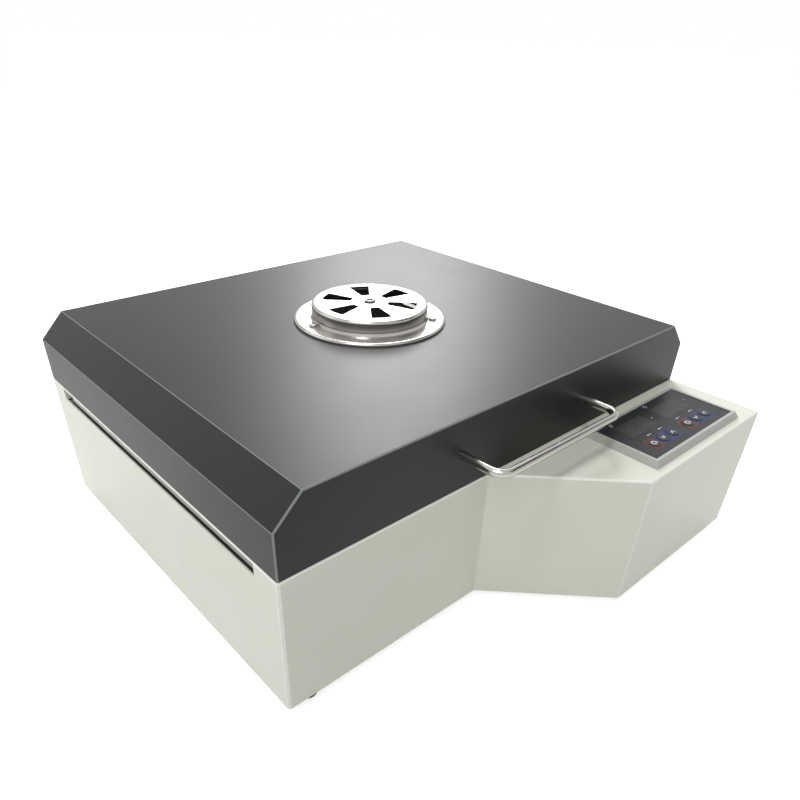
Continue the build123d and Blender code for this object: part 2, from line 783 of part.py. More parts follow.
# Lid shell: one folded profile, closed by flat front and back plates
handle_z = lid_bottom_z + handle_rise
handle_xs = (centre_x - handle_span / 2, centre_x + handle_span / 2)
with BuildPart() as lid_shell:
    with BuildSketch(Plane.XZ.offset(-lid_back_y)):
        add(lid_profile())
    extrude(amount=lid_depth)
    bends = lid_shell.edges().filter_by(lambda edge: edge.center().Z > lid_bottom_z + lid_bend)
    fillet(bends, lid_bend)
    with BuildSketch(Plane.XZ.offset(lid_sheet - lid_back_y)):
        add(lid_profile(lid_sheet))
    extrude(amount=lid_depth - 2 * lid_sheet, mode=Mode.SUBTRACT)
    with BuildSketch(Plane.XY.offset(lid_bottom_z)):
        with Locations((centre_x, lid_centre_y)):
            Rectangle(lid_width - 2 * lid_return, lid_depth - 2 * lid_return)
    extrude(amount=lid_sheet, mode=Mode.SUBTRACT)
    with Locations((vent_x, vent_y, lid_top_z)):
        Cylinder(duct_radius + duct_clearance, 2 * lid_sheet, mode=Mode.SUBTRACT)
    vent_screw_spots = [(vent_x + vent_screw_circle * cos(radians(angle)),
                         vent_y + vent_screw_circle * sin(radians(angle)))
                        for angle in vent_screw_angles]
    with Locations(*[(x, y, lid_top_z) for x, y in vent_screw_spots]):
        Cylinder(hole_radius, 2 * lid_sheet, mode=Mode.SUBTRACT)
    with BuildSketch(Plane.XZ.offset(-lid_front_y)):
        with Locations(*[(x, handle_z) for x in handle_xs]):
            Circle(hole_radius)
    extrude(amount=-lid_sheet, mode=Mode.SUBTRACT)
    with BuildSketch(Plane.XZ.offset(-lid_back_y)):
        with Locations(*[(x, base_top_z + hinge_screw_rise) for x in hinge_screw_xs]):
            Circle(hole_radius)
    extrude(amount=lid_sheet, mode=Mode.SUBTRACT)
    # Countersunk holes for the screws that hold the inner pan
    screw_inset = lid_return / 2 + lid_sheet
    liner_screw_seats = [seat(centre_x + column * (lid_width / 2 - screw_inset),
                              lid_centre_y + row * (lid_depth / 2 - screw_inset),
                              lid_bottom_z, (0, 0, -1))
                         for column in (-1, 0, 1) for row in (-1, 1)]
    with Locations(*liner_screw_seats):
        CounterSinkHole(hole_radius, flat_head_radius + screw_clearance, 4 * lid_sheet,
                        flat_head_angle)
save(lid_shell, "lid_shell")

# Bare steel pan inside the lid: a ceiling over the chamber, and four rails round it, each
# a wall with a flange that lies on the lid's return
pan_z = lid_bottom_z + lid_sheet
ceiling_z = pan_z + lid_recess
with BuildPart() as lid_liner:
    with BuildSketch(Plane.XY.offset(ceiling_z)):
        with Locations((chamber_x, chamber_y)):
            Rectangle(chamber_width + 2 * liner_sheet, chamber_depth + 2 * liner_sheet)
        with Locations((vent_x, vent_y)):
            Circle(duct_radius + duct_clearance, mode=Mode.SUBTRACT)
    extrude(amount=liner_sheet)
save(lid_liner, "lid_liner")

with BuildPart() as lid_liner_rails:
    with BuildSketch(Plane.XY.offset(pan_z)):
        with Locations((centre_x, lid_centre_y)):
            Rectangle(lid_width - 2 * (lid_sheet + plate_clearance),
                      lid_depth - 2 * (lid_sheet + plate_clearance))
    extrude(amount=liner_sheet)
    with BuildSketch(Plane.XY.offset(pan_z)):
        with Locations((chamber_x, chamber_y)):
            Rectangle(chamber_width + 2 * liner_sheet, chamber_depth + 2 * liner_sheet)
    extrude(amount=lid_recess)
    with BuildSketch(Plane.XY.offset(pan_z)):
        with Locations((chamber_x, chamber_y)):
            Rectangle(chamber_width, chamber_depth)
    extrude(amount=lid_recess, mode=Mode.SUBTRACT)
    with Locations(*liner_screw_seats):
        Cylinder(flat_head_radius - lid_sheet + screw_clearance, 8 * lid_sheet, mode=Mode.SUBTRACT)
    open_corners(pan_z)
save(lid_liner_rails, "lid_liner_rails")

with BuildPart() as lid_liner_screws:
    for place in liner_screw_seats:
        with Locations(Plane(origin=place.origin, z_dir=(0, 0, 1))):
            Cone(flat_head_radius, screw_radius, flat_head_radius - screw_radius, align=BASE_DOWN)
            Cylinder(screw_radius, 4 * lid_sheet, align=BASE_DOWN)
            for turn in (0, 90):
                Box(flat_head_radius * recess_share, recess_width, recess_depth,
                    rotation=(0, 0, turn), align=BASE_DOWN, mode=Mode.SUBTRACT)
save(lid_liner_screws, "lid_liner_screws")

with BuildPart() as lid_insulation:
    with BuildSketch(Plane.XY.offset(ceiling_z + liner_sheet + insulation_clearance)):
        with Locations((centre_x, lid_centre_y)):
            Rectangle(lid_width - 2 * lid_chamfer_width, lid_depth - 2 * lid_insulation_margin)
        with Locations((vent_x, vent_y)):
            Circle(duct_radius + duct_clearance, mode=Mode.SUBTRACT)
    extrude(amount=lid_insulation_height)
save(lid_insulation, "lid_insulation")

# Vent: a duct from the pan, a pressed flange, a windowed cap and a shutter disc beneath it
vent_section = Plane(origin=(vent_x, vent_y, lid_top_z), x_dir=(1, 0, 0), z_dir=(0, -1, 0))
vent_axis = Axis((vent_x, vent_y, 0), (0, 0, 1))
duct_drop = lid_top_z - ceiling_z
with BuildPart() as vent_duct:
    with BuildSketch(vent_section):
        with BuildLine():
            Polyline((duct_radius, duct_rise), (duct_radius, -duct_drop),
                     (duct_radius + duct_flange, -duct_drop),
                     (duct_radius + duct_flange, -duct_drop - liner_sheet),
                     (duct_radius - liner_sheet, -duct_drop - liner_sheet),
                     (duct_radius - liner_sheet, duct_rise), close=True)
        make_face()
    revolve(axis=vent_axis)
save(vent_duct, "vent_duct")

collar_radius = vent_cap_radius - vent_sheet - vent_fit
shoulder_radius = vent_cap_radius + vent_cap_lift
collar_top = vent_cap_height - 2 * vent_cap_round
roll_radius = vent_flange_radius - vent_flange_roll
with BuildPart() as vent_flange:
    with BuildSketch(vent_section):
        with BuildLine():
            outside = Line((vent_flange_radius, 0),
                           (vent_flange_radius, vent_flange_height - vent_flange_roll))
            RadiusArc(outside @ 1, (roll_radius, vent_flange_height), -vent_flange_roll)
            Polyline((roll_radius, vent_flange_height),
                     (shoulder_radius + vent_ramp_width, vent_flange_height),
                     (shoulder_radius, vent_shoulder_height),
                     (collar_radius, vent_shoulder_height), (collar_radius, collar_top),
                     (collar_radius - vent_sheet, collar_top),
                     (collar_radius - vent_sheet, vent_shoulder_height - vent_sheet),
                     (shoulder_radius - vent_sheet, vent_shoulder_height - vent_sheet),
                     (shoulder_radius + vent_ramp_width - vent_sheet, vent_flange_height - vent_sheet),
                     (roll_radius, vent_flange_height - vent_sheet))
            inner_roll = vent_flange_roll - vent_sheet
            RadiusArc((roll_radius, vent_flange_height - vent_sheet),
                      (roll_radius + inner_roll, vent_flange_height - vent_flange_roll), inner_roll)
            Polyline((roll_radius + inner_roll, vent_flange_height - vent_flange_roll),
                     (roll_radius + inner_roll, 0), (vent_flange_radius, 0))
        make_face()
    revolve(axis=vent_axis)
    with Locations(*[(x, y, lid_top_z + vent_flange_height) for x, y in vent_screw_spots]):
        Cylinder(hole_radius, 4 * vent_sheet, mode=Mode.SUBTRACT)
save(vent_flange, "vent_flange")

vent_screws = pan_screws([seat(x, y, lid_top_z + vent_flange_height, (0, 0, 1))
                          for x, y in vent_screw_spots], screw_length)
save(vent_screws, "vent_screws")


def windows(margin):
    """The ring of wedge windows, each grown by a margin in radius and by its angle there."""
    inner = window_inner_radius - margin
    outer = window_outer_radius + margin
    half = window_half_angle + degrees(margin / window_outer_radius)
    with BuildSketch() as wedge:
        with BuildLine():
            CenterArc((0, 0), outer, -half, 2 * half)
            CenterArc((0, 0), inner, -half, 2 * half)
            for side in (-half, half):
                PolarLine((inner * cos(radians(side)), inner * sin(radians(side))),
                          outer - inner, side)
        make_face()
        fillet(wedge.vertices(), window_corner)
    with BuildSketch() as ring:
        with PolarLocations(0, window_count, window_start_angle):
            add(wedge.sketch)
    return ring.sketch


cap_under = vent_cap_height - vent_sheet
with BuildPart() as vent_cap:
    with BuildSketch(vent_section):
        with BuildLine():
            flat_radius = vent_cap_radius - vent_cap_round
            side_z = vent_cap_height - vent_cap_round
            skirt_z = vent_shoulder_height + vent_cap_lift
            inner_round = vent_cap_round - vent_sheet
            Polyline((0, cap_under), (0, vent_cap_height), (flat_radius, vent_cap_height))
            RadiusArc((flat_radius, vent_cap_height), (vent_cap_radius, side_z), vent_cap_round)
            Polyline((vent_cap_radius, side_z), (vent_cap_radius, skirt_z),
                     (vent_cap_radius - vent_sheet, skirt_z), (vent_cap_radius - vent_sheet, side_z))
            RadiusArc((vent_cap_radius - vent_sheet, side_z), (flat_radius, cap_under), -inner_round)
            Line((flat_radius, cap_under), (0, cap_under))
        make_face()
    revolve(axis=vent_axis)
    with BuildSketch(Plane.XY.offset(lid_top_z + cap_under)):
        with Locations((vent_x, vent_y)):
            add(windows(0))
            Circle(rivet_radius + vent_fit)
    extrude(amount=vent_sheet, mode=Mode.SUBTRACT)
save(vent_cap, "vent_cap")

# The shutter's finger tongue rises through one window, whose sides limit its turn
shutter_top = cap_under - shutter_gap
shutter_z = lid_top_z + shutter_top - shutter_sheet
tongue_angle = window_start_angle - 360.0 / window_count
tongue_middle = tongue_tip_radius + tongue_width / 2
tongue_half_angle = degrees(asin(tongue_width / 2 / tongue_middle))
vent_travel = window_half_angle - tongue_half_angle - degrees(tongue_stop_gap / tongue_middle)
with BuildPart() as tongue:
    radial = (cos(radians(tongue_angle)), sin(radians(tongue_angle)), 0)
    across = (sin(radians(tongue_angle)), -cos(radians(tongue_angle)), 0)
    with BuildSketch(Plane(origin=(vent_x, vent_y, lid_top_z), x_dir=radial, z_dir=across)):
        with BuildLine():
            root = window_outer_radius + 2 * shutter_gap
            Polyline((root + 2, shutter_top), (root, shutter_top),
                     (tongue_tip_radius, shutter_top + tongue_rise),
                     (tongue_tip_radius, shutter_top + tongue_rise - shutter_sheet),
                     (root, shutter_top - shutter_sheet),
                     (root + 2, shutter_top - shutter_sheet), close=True)
        make_face()
    extrude(amount=tongue_width / 2, both=True)
    with BuildSketch(Plane(origin=(vent_x, vent_y, lid_top_z), x_dir=radial, z_dir=(0, 0, 1))):
        with Locations((tongue_tip_radius, 0)):
            SlotOverall(window_outer_radius, tongue_width, align=(Align.MIN, Align.CENTER))
    extrude(amount=2 * vent_cap_height, mode=Mode.INTERSECT)

with BuildPart() as vent_shutter:
    with BuildSketch(Plane.XY.offset(shutter_z)):
        with Locations((vent_x, vent_y)):
            Circle(shutter_radius)
            add(windows(shutter_gap), mode=Mode.SUBTRACT)
            Circle(rivet_radius + rivet_clearance, mode=Mode.SUBTRACT)
    extrude(amount=shutter_sheet)
    add(tongue.part)
save(vent_shutter, "vent_shutter")

with BuildPart() as vent_rivet:
    with BuildSketch(vent_section):
        with BuildLine():
            tail_top = shutter_top - shutter_sheet - shutter_gap
            Polyline((0, vent_cap_height + rivet_head_height - rivet_dimple_depth),
                     (rivet_dimple_radius - rivet_dimple_depth,
                      vent_cap_height + rivet_head_height - rivet_dimple_depth),
                     (rivet_dimple_radius, vent_cap_height + rivet_head_height),
                     (rivet_head_radius - rivet_head_height / 2, vent_cap_height + rivet_head_height),
                     (rivet_head_radius, vent_cap_height + rivet_head_height / 2),
                     (rivet_head_radius, vent_cap_height), (rivet_radius, vent_cap_height),
                     (rivet_radius, tail_top), (rivet_tail_radius, tail_top),
                     (rivet_tail_radius, tail_top - rivet_tail_height),
                     (0, tail_top - rivet_tail_height), close=True)
        make_face()
    revolve(axis=vent_axis)
save(vent_rivet, "vent_rivet")

# Handle: a bent rod whose ends seat on the lid's front plate
with BuildPart() as handle:
    grip_y = lid_front_y - handle_reach
    with BuildLine() as bend:
        FilletPolyline((handle_xs[0], lid_front_y, handle_z), (handle_xs[0], grip_y, handle_z),
                       (handle_xs[1], grip_y, handle_z), (handle_xs[1], lid_front_y, handle_z),
                       radius=handle_bend)
    with BuildSketch(Plane(origin=bend.line @ 0, z_dir=bend.line % 0)):
        Circle(handle_rod_radius)
    sweep(path=bend.line)
    with Locations(*[seat(x, lid_front_y, handle_z, (0, 1, 0)) for x in handle_xs]):
        Cylinder(screw_radius + screw_clearance / 2, handle_bore_depth, align=TOP_UP,
                 mode=Mode.SUBTRACT)
save(handle, "handle")

handle_screws = pan_screws([seat(x, lid_front_y + lid_sheet, handle_z, (0, 1, 0))
                            for x in handle_xs], handle_bore_depth)
save(handle_screws, "handle_screws")

# Hinges on the back: leaves with knuckles round a pin, and a lug on each lid leaf that
# meets the case's leaf when the lid is fully open
axis_y = back_y + hinge_axis_offset
leaf_root = hinge_knuckle_radius + 2 * hinge_wall_gap
inner_half = hinge_knuckle_length / 2
outer_start = inner_half + hinge_side_gap


def leaf_pair(spans, direction, lug):
    """A pair of leaves: each has a plate on the wall and a knuckle over each of its spans."""
    plate_middle = base_top_z + direction * (leaf_root + hinge_leaf_height / 2)
    with BuildPart() as leaf:
        for hinge_x in hinge_spots:
            with BuildSketch(Plane.XZ.offset(-back_y)):
                with Locations((hinge_x, plate_middle)):
                    RectangleRounded(hinge_width, hinge_leaf_height, hinge_leaf)
                with Locations(*[(hinge_x + side * hinge_screw_spacing / 2,
                                  base_top_z + direction * hinge_screw_rise) for side in (-1, 1)]):
                    Circle(hole_radius, mode=Mode.SUBTRACT)
            extrude(amount=-hinge_leaf)
            for start, length in spans:
                with BuildSketch(Plane.YZ.offset(hinge_x + start)):
                    with Locations((back_y + hinge_leaf / 2, base_top_z + direction * leaf_root / 2)):
                        Rectangle(hinge_leaf, leaf_root)
                    with Locations((back_y + hinge_leaf / 2, base_top_z + direction * leaf_root)):
                        Rectangle(hinge_leaf, 2 * hinge_leaf)
                    with Locations((axis_y, base_top_z)):
                        Circle(hinge_knuckle_radius)
                extrude(amount=length)
            if lug:
                with Locations((hinge_x, axis_y, base_top_z)):
                    Box(stop_width, stop_reach, stop_thickness,
                        align=(Align.CENTER, Align.MIN, Align.CENTER))
            with Locations((hinge_x, axis_y, base_top_z)):
                Cylinder(hinge_pin_radius + hinge_pin_clearance, 2 * hinge_width,
                         rotation=(0, 90, 0), mode=Mode.SUBTRACT)
    return leaf


outer_length = hinge_width / 2 - outer_start
lid_hinge_leaves = leaf_pair([(-inner_half, hinge_knuckle_length)], 1, True)
save(lid_hinge_leaves, "lid_hinge_leaves")
base_hinge_leaves = leaf_pair([(-hinge_width / 2, outer_length), (outer_start, outer_length)],
                               -1, False)
save(base_hinge_leaves, "base_hinge_leaves")

with BuildPart() as hinge_pins:
    with Locations(*[(x, axis_y, base_top_z) for x in hinge_spots]):
        Cylinder(hinge_pin_radius, hinge_width + 2, rotation=(0, 90, 0))
    chamfer(hinge_pins.edges().filter_by(GeomType.CIRCLE), hinge_pin_radius / 5)
save(hinge_pins, "hinge_pins")

for name, direction in (("lid_hinge_screws", 1), ("base_hinge_screws", -1)):
    hinge_screws = pan_screws([seat(x, back_y + hinge_leaf, base_top_z + direction * hinge_screw_rise,
                                    (0, 1, 0)) for x in hinge_screw_xs], screw_length)
    save(hinge_screws, name)

# Control unit: a sloped bezel on the pod, a black face with six keys and two display
# windows, and a housing through the pod's top that holds the circuit board
opening_width = panel_width - 2 * (bezel_slope + bezel_rim)
opening_depth = panel_depth - 2 * (bezel_slope + bezel_rim)
face_width = opening_width - 2 * panel_clearance
face_depth = opening_depth - 2 * panel_clearance
face_top_z = base_top_z + bezel_height - face_recess
face_z = face_top_z - face_thickness
board_z = base_top_z - board_drop
board_top_z = board_z + board_thickness
display_spots = [(panel_x - display_offset, panel_y + display_rise),
                 (panel_x + display_offset, panel_y + display_rise)]
key_xs = [panel_x + group * display_offset + step * key_pitch
          for group in (-1, 1) for step in (-1, 0, 1)]
key_y = panel_y - key_row_drop

with BuildPart() as controller_bezel:
    with BuildSketch(Plane.XY.offset(base_top_z)):
        with Locations((panel_x, panel_y)):
            RectangleRounded(panel_width, panel_depth, bezel_edge)
    extrude(amount=bezel_edge)
    with BuildSketch(Plane.XY.offset(base_top_z + bezel_edge)):
        with Locations((panel_x, panel_y)):
            RectangleRounded(panel_width, panel_depth, bezel_edge)
    with BuildSketch(Plane.XY.offset(base_top_z + bezel_height)):
        with Locations((panel_x, panel_y)):
            RectangleRounded(panel_width - 2 * bezel_slope, panel_depth - 2 * bezel_slope, bezel_edge)
    loft(ruled=True)
    with BuildSketch(Plane.XY.offset(base_top_z)):
        with Locations((panel_x, panel_y)):
            Rectangle(opening_width, opening_depth)
    extrude(amount=bezel_height, mode=Mode.SUBTRACT)
save(controller_bezel, "controller_bezel")

with BuildPart() as controller_face:
    with BuildSketch(Plane.XY.offset(face_z)):
        with Locations((panel_x, panel_y)):
            Rectangle(face_width, face_depth)
        with Locations(*display_spots):
            Rectangle(display_width + 2 * panel_clearance, display_depth + 2 * panel_clearance,
                      mode=Mode.SUBTRACT)
        with Locations(*[(x, key_y) for x in key_xs]):
            Circle(key_radius + key_side_gap, mode=Mode.SUBTRACT)
    extrude(amount=face_thickness)
save(controller_face, "controller_face")

with BuildPart() as controller_housing:
    with BuildSketch(Plane.XY.offset(base_top_z)):
        with Locations((panel_x, panel_y)):
            Rectangle(housing_width, housing_depth)
    extrude(amount=-housing_drop)
    with BuildSketch(Plane.XY.offset(base_top_z)):
        with Locations((panel_x, panel_y)):
            Rectangle(face_width, face_depth)
    extrude(amount=face_z - base_top_z)
    with BuildSketch(Plane.XY.offset(board_z)):
        with Locations((panel_x, panel_y)):
            Rectangle(face_width - 2 * housing_wall, face_depth - 2 * housing_wall)
    extrude(amount=face_z - board_z, mode=Mode.SUBTRACT)
    with BuildSketch(Plane.XY.offset(board_z)):
        with Locations((panel_x, panel_y)):
            Rectangle(face_width - 2 * (housing_wall + housing_ledge),
                      face_depth - 2 * (housing_wall + housing_ledge))
    extrude(amount=-(board_z - base_top_z + housing_drop - housing_wall), mode=Mode.SUBTRACT)
save(controller_housing, "controller_housing")

with BuildPart() as controller_board:
    with BuildSketch(Plane.XY.offset(board_z)):
        with Locations((panel_x, panel_y)):
            Rectangle(face_width - 2 * (housing_wall + panel_clearance),
                      face_depth - 2 * (housing_wall + panel_clearance))
    extrude(amount=board_thickness)
    with BuildSketch(Plane.XY.offset(board_top_z)):
        with Locations(*[(x, key_y) for x in key_xs]):
            Rectangle(tact_width, tact_width)
    extrude(amount=tact_height)
save(controller_board, "controller_board")

for name, (x, y) in zip(("temperature_display", "timer_display"), display_spots):
    with BuildPart() as display:
        with BuildSketch(Plane.XY.offset(board_top_z)):
            with Locations((x, y)):
                Rectangle(display_width, display_depth)
        extrude(amount=face_top_z - board_top_z)
    save(display, name)

# Each key is a domed cap with a rim under the face and a stem over its switch
key_names = ("temperature_set_key", "temperature_down_key", "temperature_up_key",
             "timer_set_key", "timer_down_key", "timer_up_key")
key_top_z = face_top_z + key_proud
key_rim_z = face_z - key_rim_thickness - panel_clearance
key_foot_z = board_top_z + tact_height + key_travel + panel_clearance
for name, x in zip(key_names, key_xs):
    with BuildPart() as key:
        with Locations((x, key_y, key_rim_z)):
            Cylinder(key_radius + key_rim, key_rim_thickness, align=BASE_DOWN)
            Cylinder(key_radius, key_top_z - key_rim_z, align=BASE_DOWN)
        fillet(key.edges().sort_by(Axis.Z)[-1], key_edge)
        with Locations((x, key_y, key_foot_z)):
            Cylinder(key_stem_radius, key_rim_z - key_foot_z, align=BASE_DOWN)
    save(key, name)

# Spring clips at the housing's ends, pressing up under the pod's top sheet
with BuildPart() as controller_clips:
    for side in (-1, 1):
        inner_x = panel_x + side * (housing_width / 2 + panel_clearance)
        with BuildSketch(Plane.XZ.offset(-panel_y)):
            with BuildLine():
                Polyline((inner_x, flange_under_z), (inner_x + side * clip_foot, flange_under_z),
                         (inner_x + side * clip_foot, flange_under_z - clip_sheet),
                         (inner_x + side * clip_sheet, flange_under_z - clip_sheet),
                         (inner_x + side * clip_sheet, flange_under_z - clip_height),
                         (inner_x, flange_under_z - clip_height), close=True)
            make_face()
        extrude(amount=clip_width / 2, both=True)
save(controller_clips, "controller_clips")

# Heat sink on the bottom plate, with the relay that switches the heaters on top
relay_x = right_x - relay_inset_x
relay_y = front_y - relay_offset_y
sink_top_z = plate_top_z + sink_fin_height + sink_base
with BuildPart() as heat_sink:
    with BuildSketch(Plane.XZ.offset(-relay_y)):
        with Locations((relay_x, sink_top_z)):
            Rectangle(sink_width, sink_base, align=(Align.CENTER, Align.MAX))
        with Locations((relay_x, plate_top_z + sink_fin_height / 2)):
            fin_pitch = (sink_width - sink_fin_thickness) / (sink_fin_count - 1)
            with GridLocations(fin_pitch, 1, sink_fin_count, 1):
                Rectangle(sink_fin_thickness, sink_fin_height)
    extrude(amount=sink_depth / 2, both=True)
save(heat_sink, "heat_sink")

with BuildPart() as solid_state_relay:
    with BuildSketch(Plane.XY.offset(sink_top_z)):
        with Locations((relay_x, relay_y)):
            Rectangle(relay_width, relay_depth)
    extrude(amount=relay_height)
    chamfer(solid_state_relay.faces().sort_by(Axis.Z)[-1].edges(), bezel_edge)
    with Locations((relay_x, relay_y, sink_top_z + relay_height)):
        with GridLocations(relay_screw_spread, relay_screw_gap, 2, 2):
            Cylinder(screw_head_radius, screw_head_height, align=TOP_UP, mode=Mode.SUBTRACT)
save(solid_state_relay, "solid_state_relay")

with BuildPart() as terminal_block:
    block_x = right_x - terminal_block_inset_x
    block_y = front_y - terminal_block_offset_y
    with BuildSketch(Plane.XY.offset(plate_top_z)):
        with Locations((block_x, block_y)):
            Rectangle(terminal_block_width, terminal_block_depth)
    extrude(amount=terminal_block_height)
    way_pitch = terminal_block_width / terminal_block_ways
    with Locations((block_x, block_y, plate_top_z + terminal_block_height)):
        with GridLocations(way_pitch, terminal_screw_gap, terminal_block_ways, 2):
            Cylinder(small_head_radius, small_head_height, align=TOP_UP, mode=Mode.SUBTRACT)
        with GridLocations(way_pitch, terminal_block_depth, terminal_block_ways - 1, 2):
            Box(terminal_groove_width, terminal_groove_depth, terminal_block_height,
                mode=Mode.SUBTRACT)
save(terminal_block, "terminal_block")

# Appliance inlet in the right wall of the pod
with BuildPart() as power_inlet:
    with BuildSketch(Plane.YZ.offset(right_x)):
        with Locations((inlet_y, inlet_z)):
            RectangleRounded(inlet_flange_width, inlet_flange_height, inlet_socket_corner)
    extrude(amount=inlet_flange_thickness)
    with BuildSketch(Plane.YZ.offset(right_x)):
        with Locations((inlet_y, inlet_z)):
            Rectangle(inlet_body_width, inlet_body_height)
    extrude(amount=-inlet_body_depth)
    half_width = inlet_socket_width / 2
    half_height = inlet_socket_height / 2
    with BuildSketch(Plane.YZ.offset(right_x + inlet_flange_thickness)):
        with BuildLine():
            Polyline((inlet_y - half_width, inlet_z - half_height),
                     (inlet_y + half_width, inlet_z - half_height),
                     (inlet_y + half_width, inlet_z + half_height - inlet_socket_corner),
                     (inlet_y + half_width - inlet_socket_corner, inlet_z + half_height),
                     (inlet_y - half_width + inlet_socket_corner, inlet_z + half_height),
                     (inlet_y - half_width, inlet_z + half_height - inlet_socket_corner), close=True)
        make_face()
    extrude(amount=-inlet_socket_depth, mode=Mode.SUBTRACT)
    with Locations(*[seat(right_x, y, inlet_z, (1, 0, 0)) for y in inlet_screw_ys]):
        Cylinder(small_screw_radius + screw_clearance, 4 * inlet_flange_thickness,
                 mode=Mode.SUBTRACT)
save(power_inlet, "power_inlet")

pin_x = right_x + inlet_flange_thickness - inlet_socket_depth
pin_spots = ((inlet_y - inlet_pin_spacing, inlet_z - inlet_pin_width),
             (inlet_y, inlet_z + inlet_pin_width),
             (inlet_y + inlet_pin_spacing, inlet_z - inlet_pin_width))
with BuildPart() as inlet_pins:
    with BuildSketch(Plane.YZ.offset(pin_x)):
        with Locations(*pin_spots):
            Rectangle(inlet_pin_width, inlet_pin_height)
    extrude(amount=inlet_pin_length)
    chamfer(inlet_pins.faces().filter_by(Axis.X).group_by(Axis.X)[-1].edges(), inlet_pin_width / 4)
save(inlet_pins, "inlet_pins")

inlet_screws = pan_screws([seat(right_x + inlet_flange_thickness, y, inlet_z, (1, 0, 0))
                           for y in inlet_screw_ys],
                          screw_length, small_screw_radius, small_head_radius, small_head_height)
save(inlet_screws, "inlet_screws")

# Rocker switch beside the inlet; the rocker turns on two stub pins
rocker_pivot_x = right_x - rocker_pivot_depth
crest_sweep = rocker_crest * sin(rocker_tilt) + rocker_height / 2 * cos(rocker_tilt)
cavity_height = 2 * (crest_sweep + rocker_gap)
cavity_width = rocker_width + 2 * rocker_gap
with BuildPart() as switch_body:
    with BuildSketch(Plane.YZ.offset(right_x)):
        with Locations((switch_y, inlet_z)):
            RectangleRounded(switch_bezel_width, switch_bezel_height, switch_bezel_thickness)
    extrude(amount=switch_bezel_thickness)
    with BuildSketch(Plane.YZ.offset(right_x)):
        with Locations((switch_y, inlet_z)):
            Rectangle(switch_body_width, switch_body_height)
    extrude(amount=-switch_body_depth)
    with BuildSketch(Plane.YZ.offset(right_x + switch_bezel_thickness)):
        with Locations((switch_y, inlet_z)):
            Rectangle(cavity_width, cavity_height)
    extrude(amount=-switch_cavity_depth, mode=Mode.SUBTRACT)
    with Locations((rocker_pivot_x, switch_y, inlet_z)):
        Cylinder(rocker_pin_radius + rocker_pin_clearance,
                 rocker_width + 2 * (rocker_pin_length + rocker_gap), rotation=(90, 0, 0),
                 mode=Mode.SUBTRACT)
save(switch_body, "switch_body")

with BuildPart() as switch_rocker:
    with BuildSketch(Plane(origin=(rocker_pivot_x, switch_y, inlet_z), x_dir=(1, 0, 0),
                           z_dir=(0, -1, 0))):
        with BuildLine():
            Polyline((-rocker_root, -rocker_height / 2 + rocker_root),
                     (rocker_crest, -rocker_height / 2), (rocker_waist, 0),
                     (rocker_crest, rocker_height / 2), (-rocker_root, rocker_height / 2 - rocker_root),
                     close=True)
        make_face()
    extrude(amount=rocker_width / 2, both=True)
    with Locations((rocker_pivot_x, switch_y, inlet_z)):
        Cylinder(rocker_pin_radius, rocker_width + 2 * rocker_pin_length, rotation=(90, 0, 0))
pivot = Axis((rocker_pivot_x, switch_y, inlet_z), (0, -1, 0))
switch_rocker.part = switch_rocker.part.rotate(pivot, rocker_half_throw)
save(switch_rocker, "switch_rocker")
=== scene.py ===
import math
import bpy
from mathutils import Matrix, Vector


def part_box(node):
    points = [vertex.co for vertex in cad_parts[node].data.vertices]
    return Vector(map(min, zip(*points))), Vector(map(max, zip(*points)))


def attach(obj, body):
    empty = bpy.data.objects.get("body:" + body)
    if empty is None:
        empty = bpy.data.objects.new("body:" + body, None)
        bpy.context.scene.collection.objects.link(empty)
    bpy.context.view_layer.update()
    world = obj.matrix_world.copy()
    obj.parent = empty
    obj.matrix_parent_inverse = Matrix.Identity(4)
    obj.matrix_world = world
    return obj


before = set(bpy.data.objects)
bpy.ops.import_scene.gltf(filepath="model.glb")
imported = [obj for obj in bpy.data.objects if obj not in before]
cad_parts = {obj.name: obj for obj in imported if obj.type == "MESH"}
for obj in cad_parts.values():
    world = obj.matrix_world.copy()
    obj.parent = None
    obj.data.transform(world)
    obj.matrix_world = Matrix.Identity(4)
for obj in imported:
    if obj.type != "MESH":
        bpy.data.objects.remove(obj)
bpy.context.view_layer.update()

MM = 0.001
CIRCLE_STEPS, CORNER_STEPS = 48, 8
NOISE_LOW, NOISE_HIGH = 0.3, 0.7  # most values of a noise texture lie between these
MIX_FROM, MIX_TO, MIXED = 6, 7, 2  # the colour sockets of a Mix node

# The numbers below place the painted highlight on the outward bends of the powder coats.
# A face is flat while the cosine of its angle to an axis or a slant is above FLAT, and fully
# bent below BENT. The slants are the pod's left wall and the lid's chamfers. The upright
# corner where the pod leaves the case's front is bent inward.
FLAT, BENT = 0.999, 0.98
POD_SLANT = (0.703, 0.711, 0)
LID_SLANT = (0.693, 0, 0.721)
POD_ROOT = (-0.0478, -0.1740, 0)
POD_ROOT_REACH = 9 * MM


def linear(code):
    """An sRGB hex colour as the linear colour a shader takes."""
    values = [int(code[place:place + 2], 16) / 255 for place in (1, 3, 5)]
    return [v / 12.92 if v <= 0.04045 else ((v + 0.055) / 1.055) ** 2.4 for v in values] + [1.0]


def add(tree, kind, inputs=None, **settings):
    """Add a node, set its properties, and set or link its inputs by name or number."""
    made = tree.nodes.new(kind)
    for name, value in settings.items():
        setattr(made, name, value)
    for socket, value in (inputs or {}).items():
        if isinstance(value, bpy.types.NodeSocket):
            tree.links.new(value, made.inputs[socket])
        else:
            made.inputs[socket].default_value = value
    return made


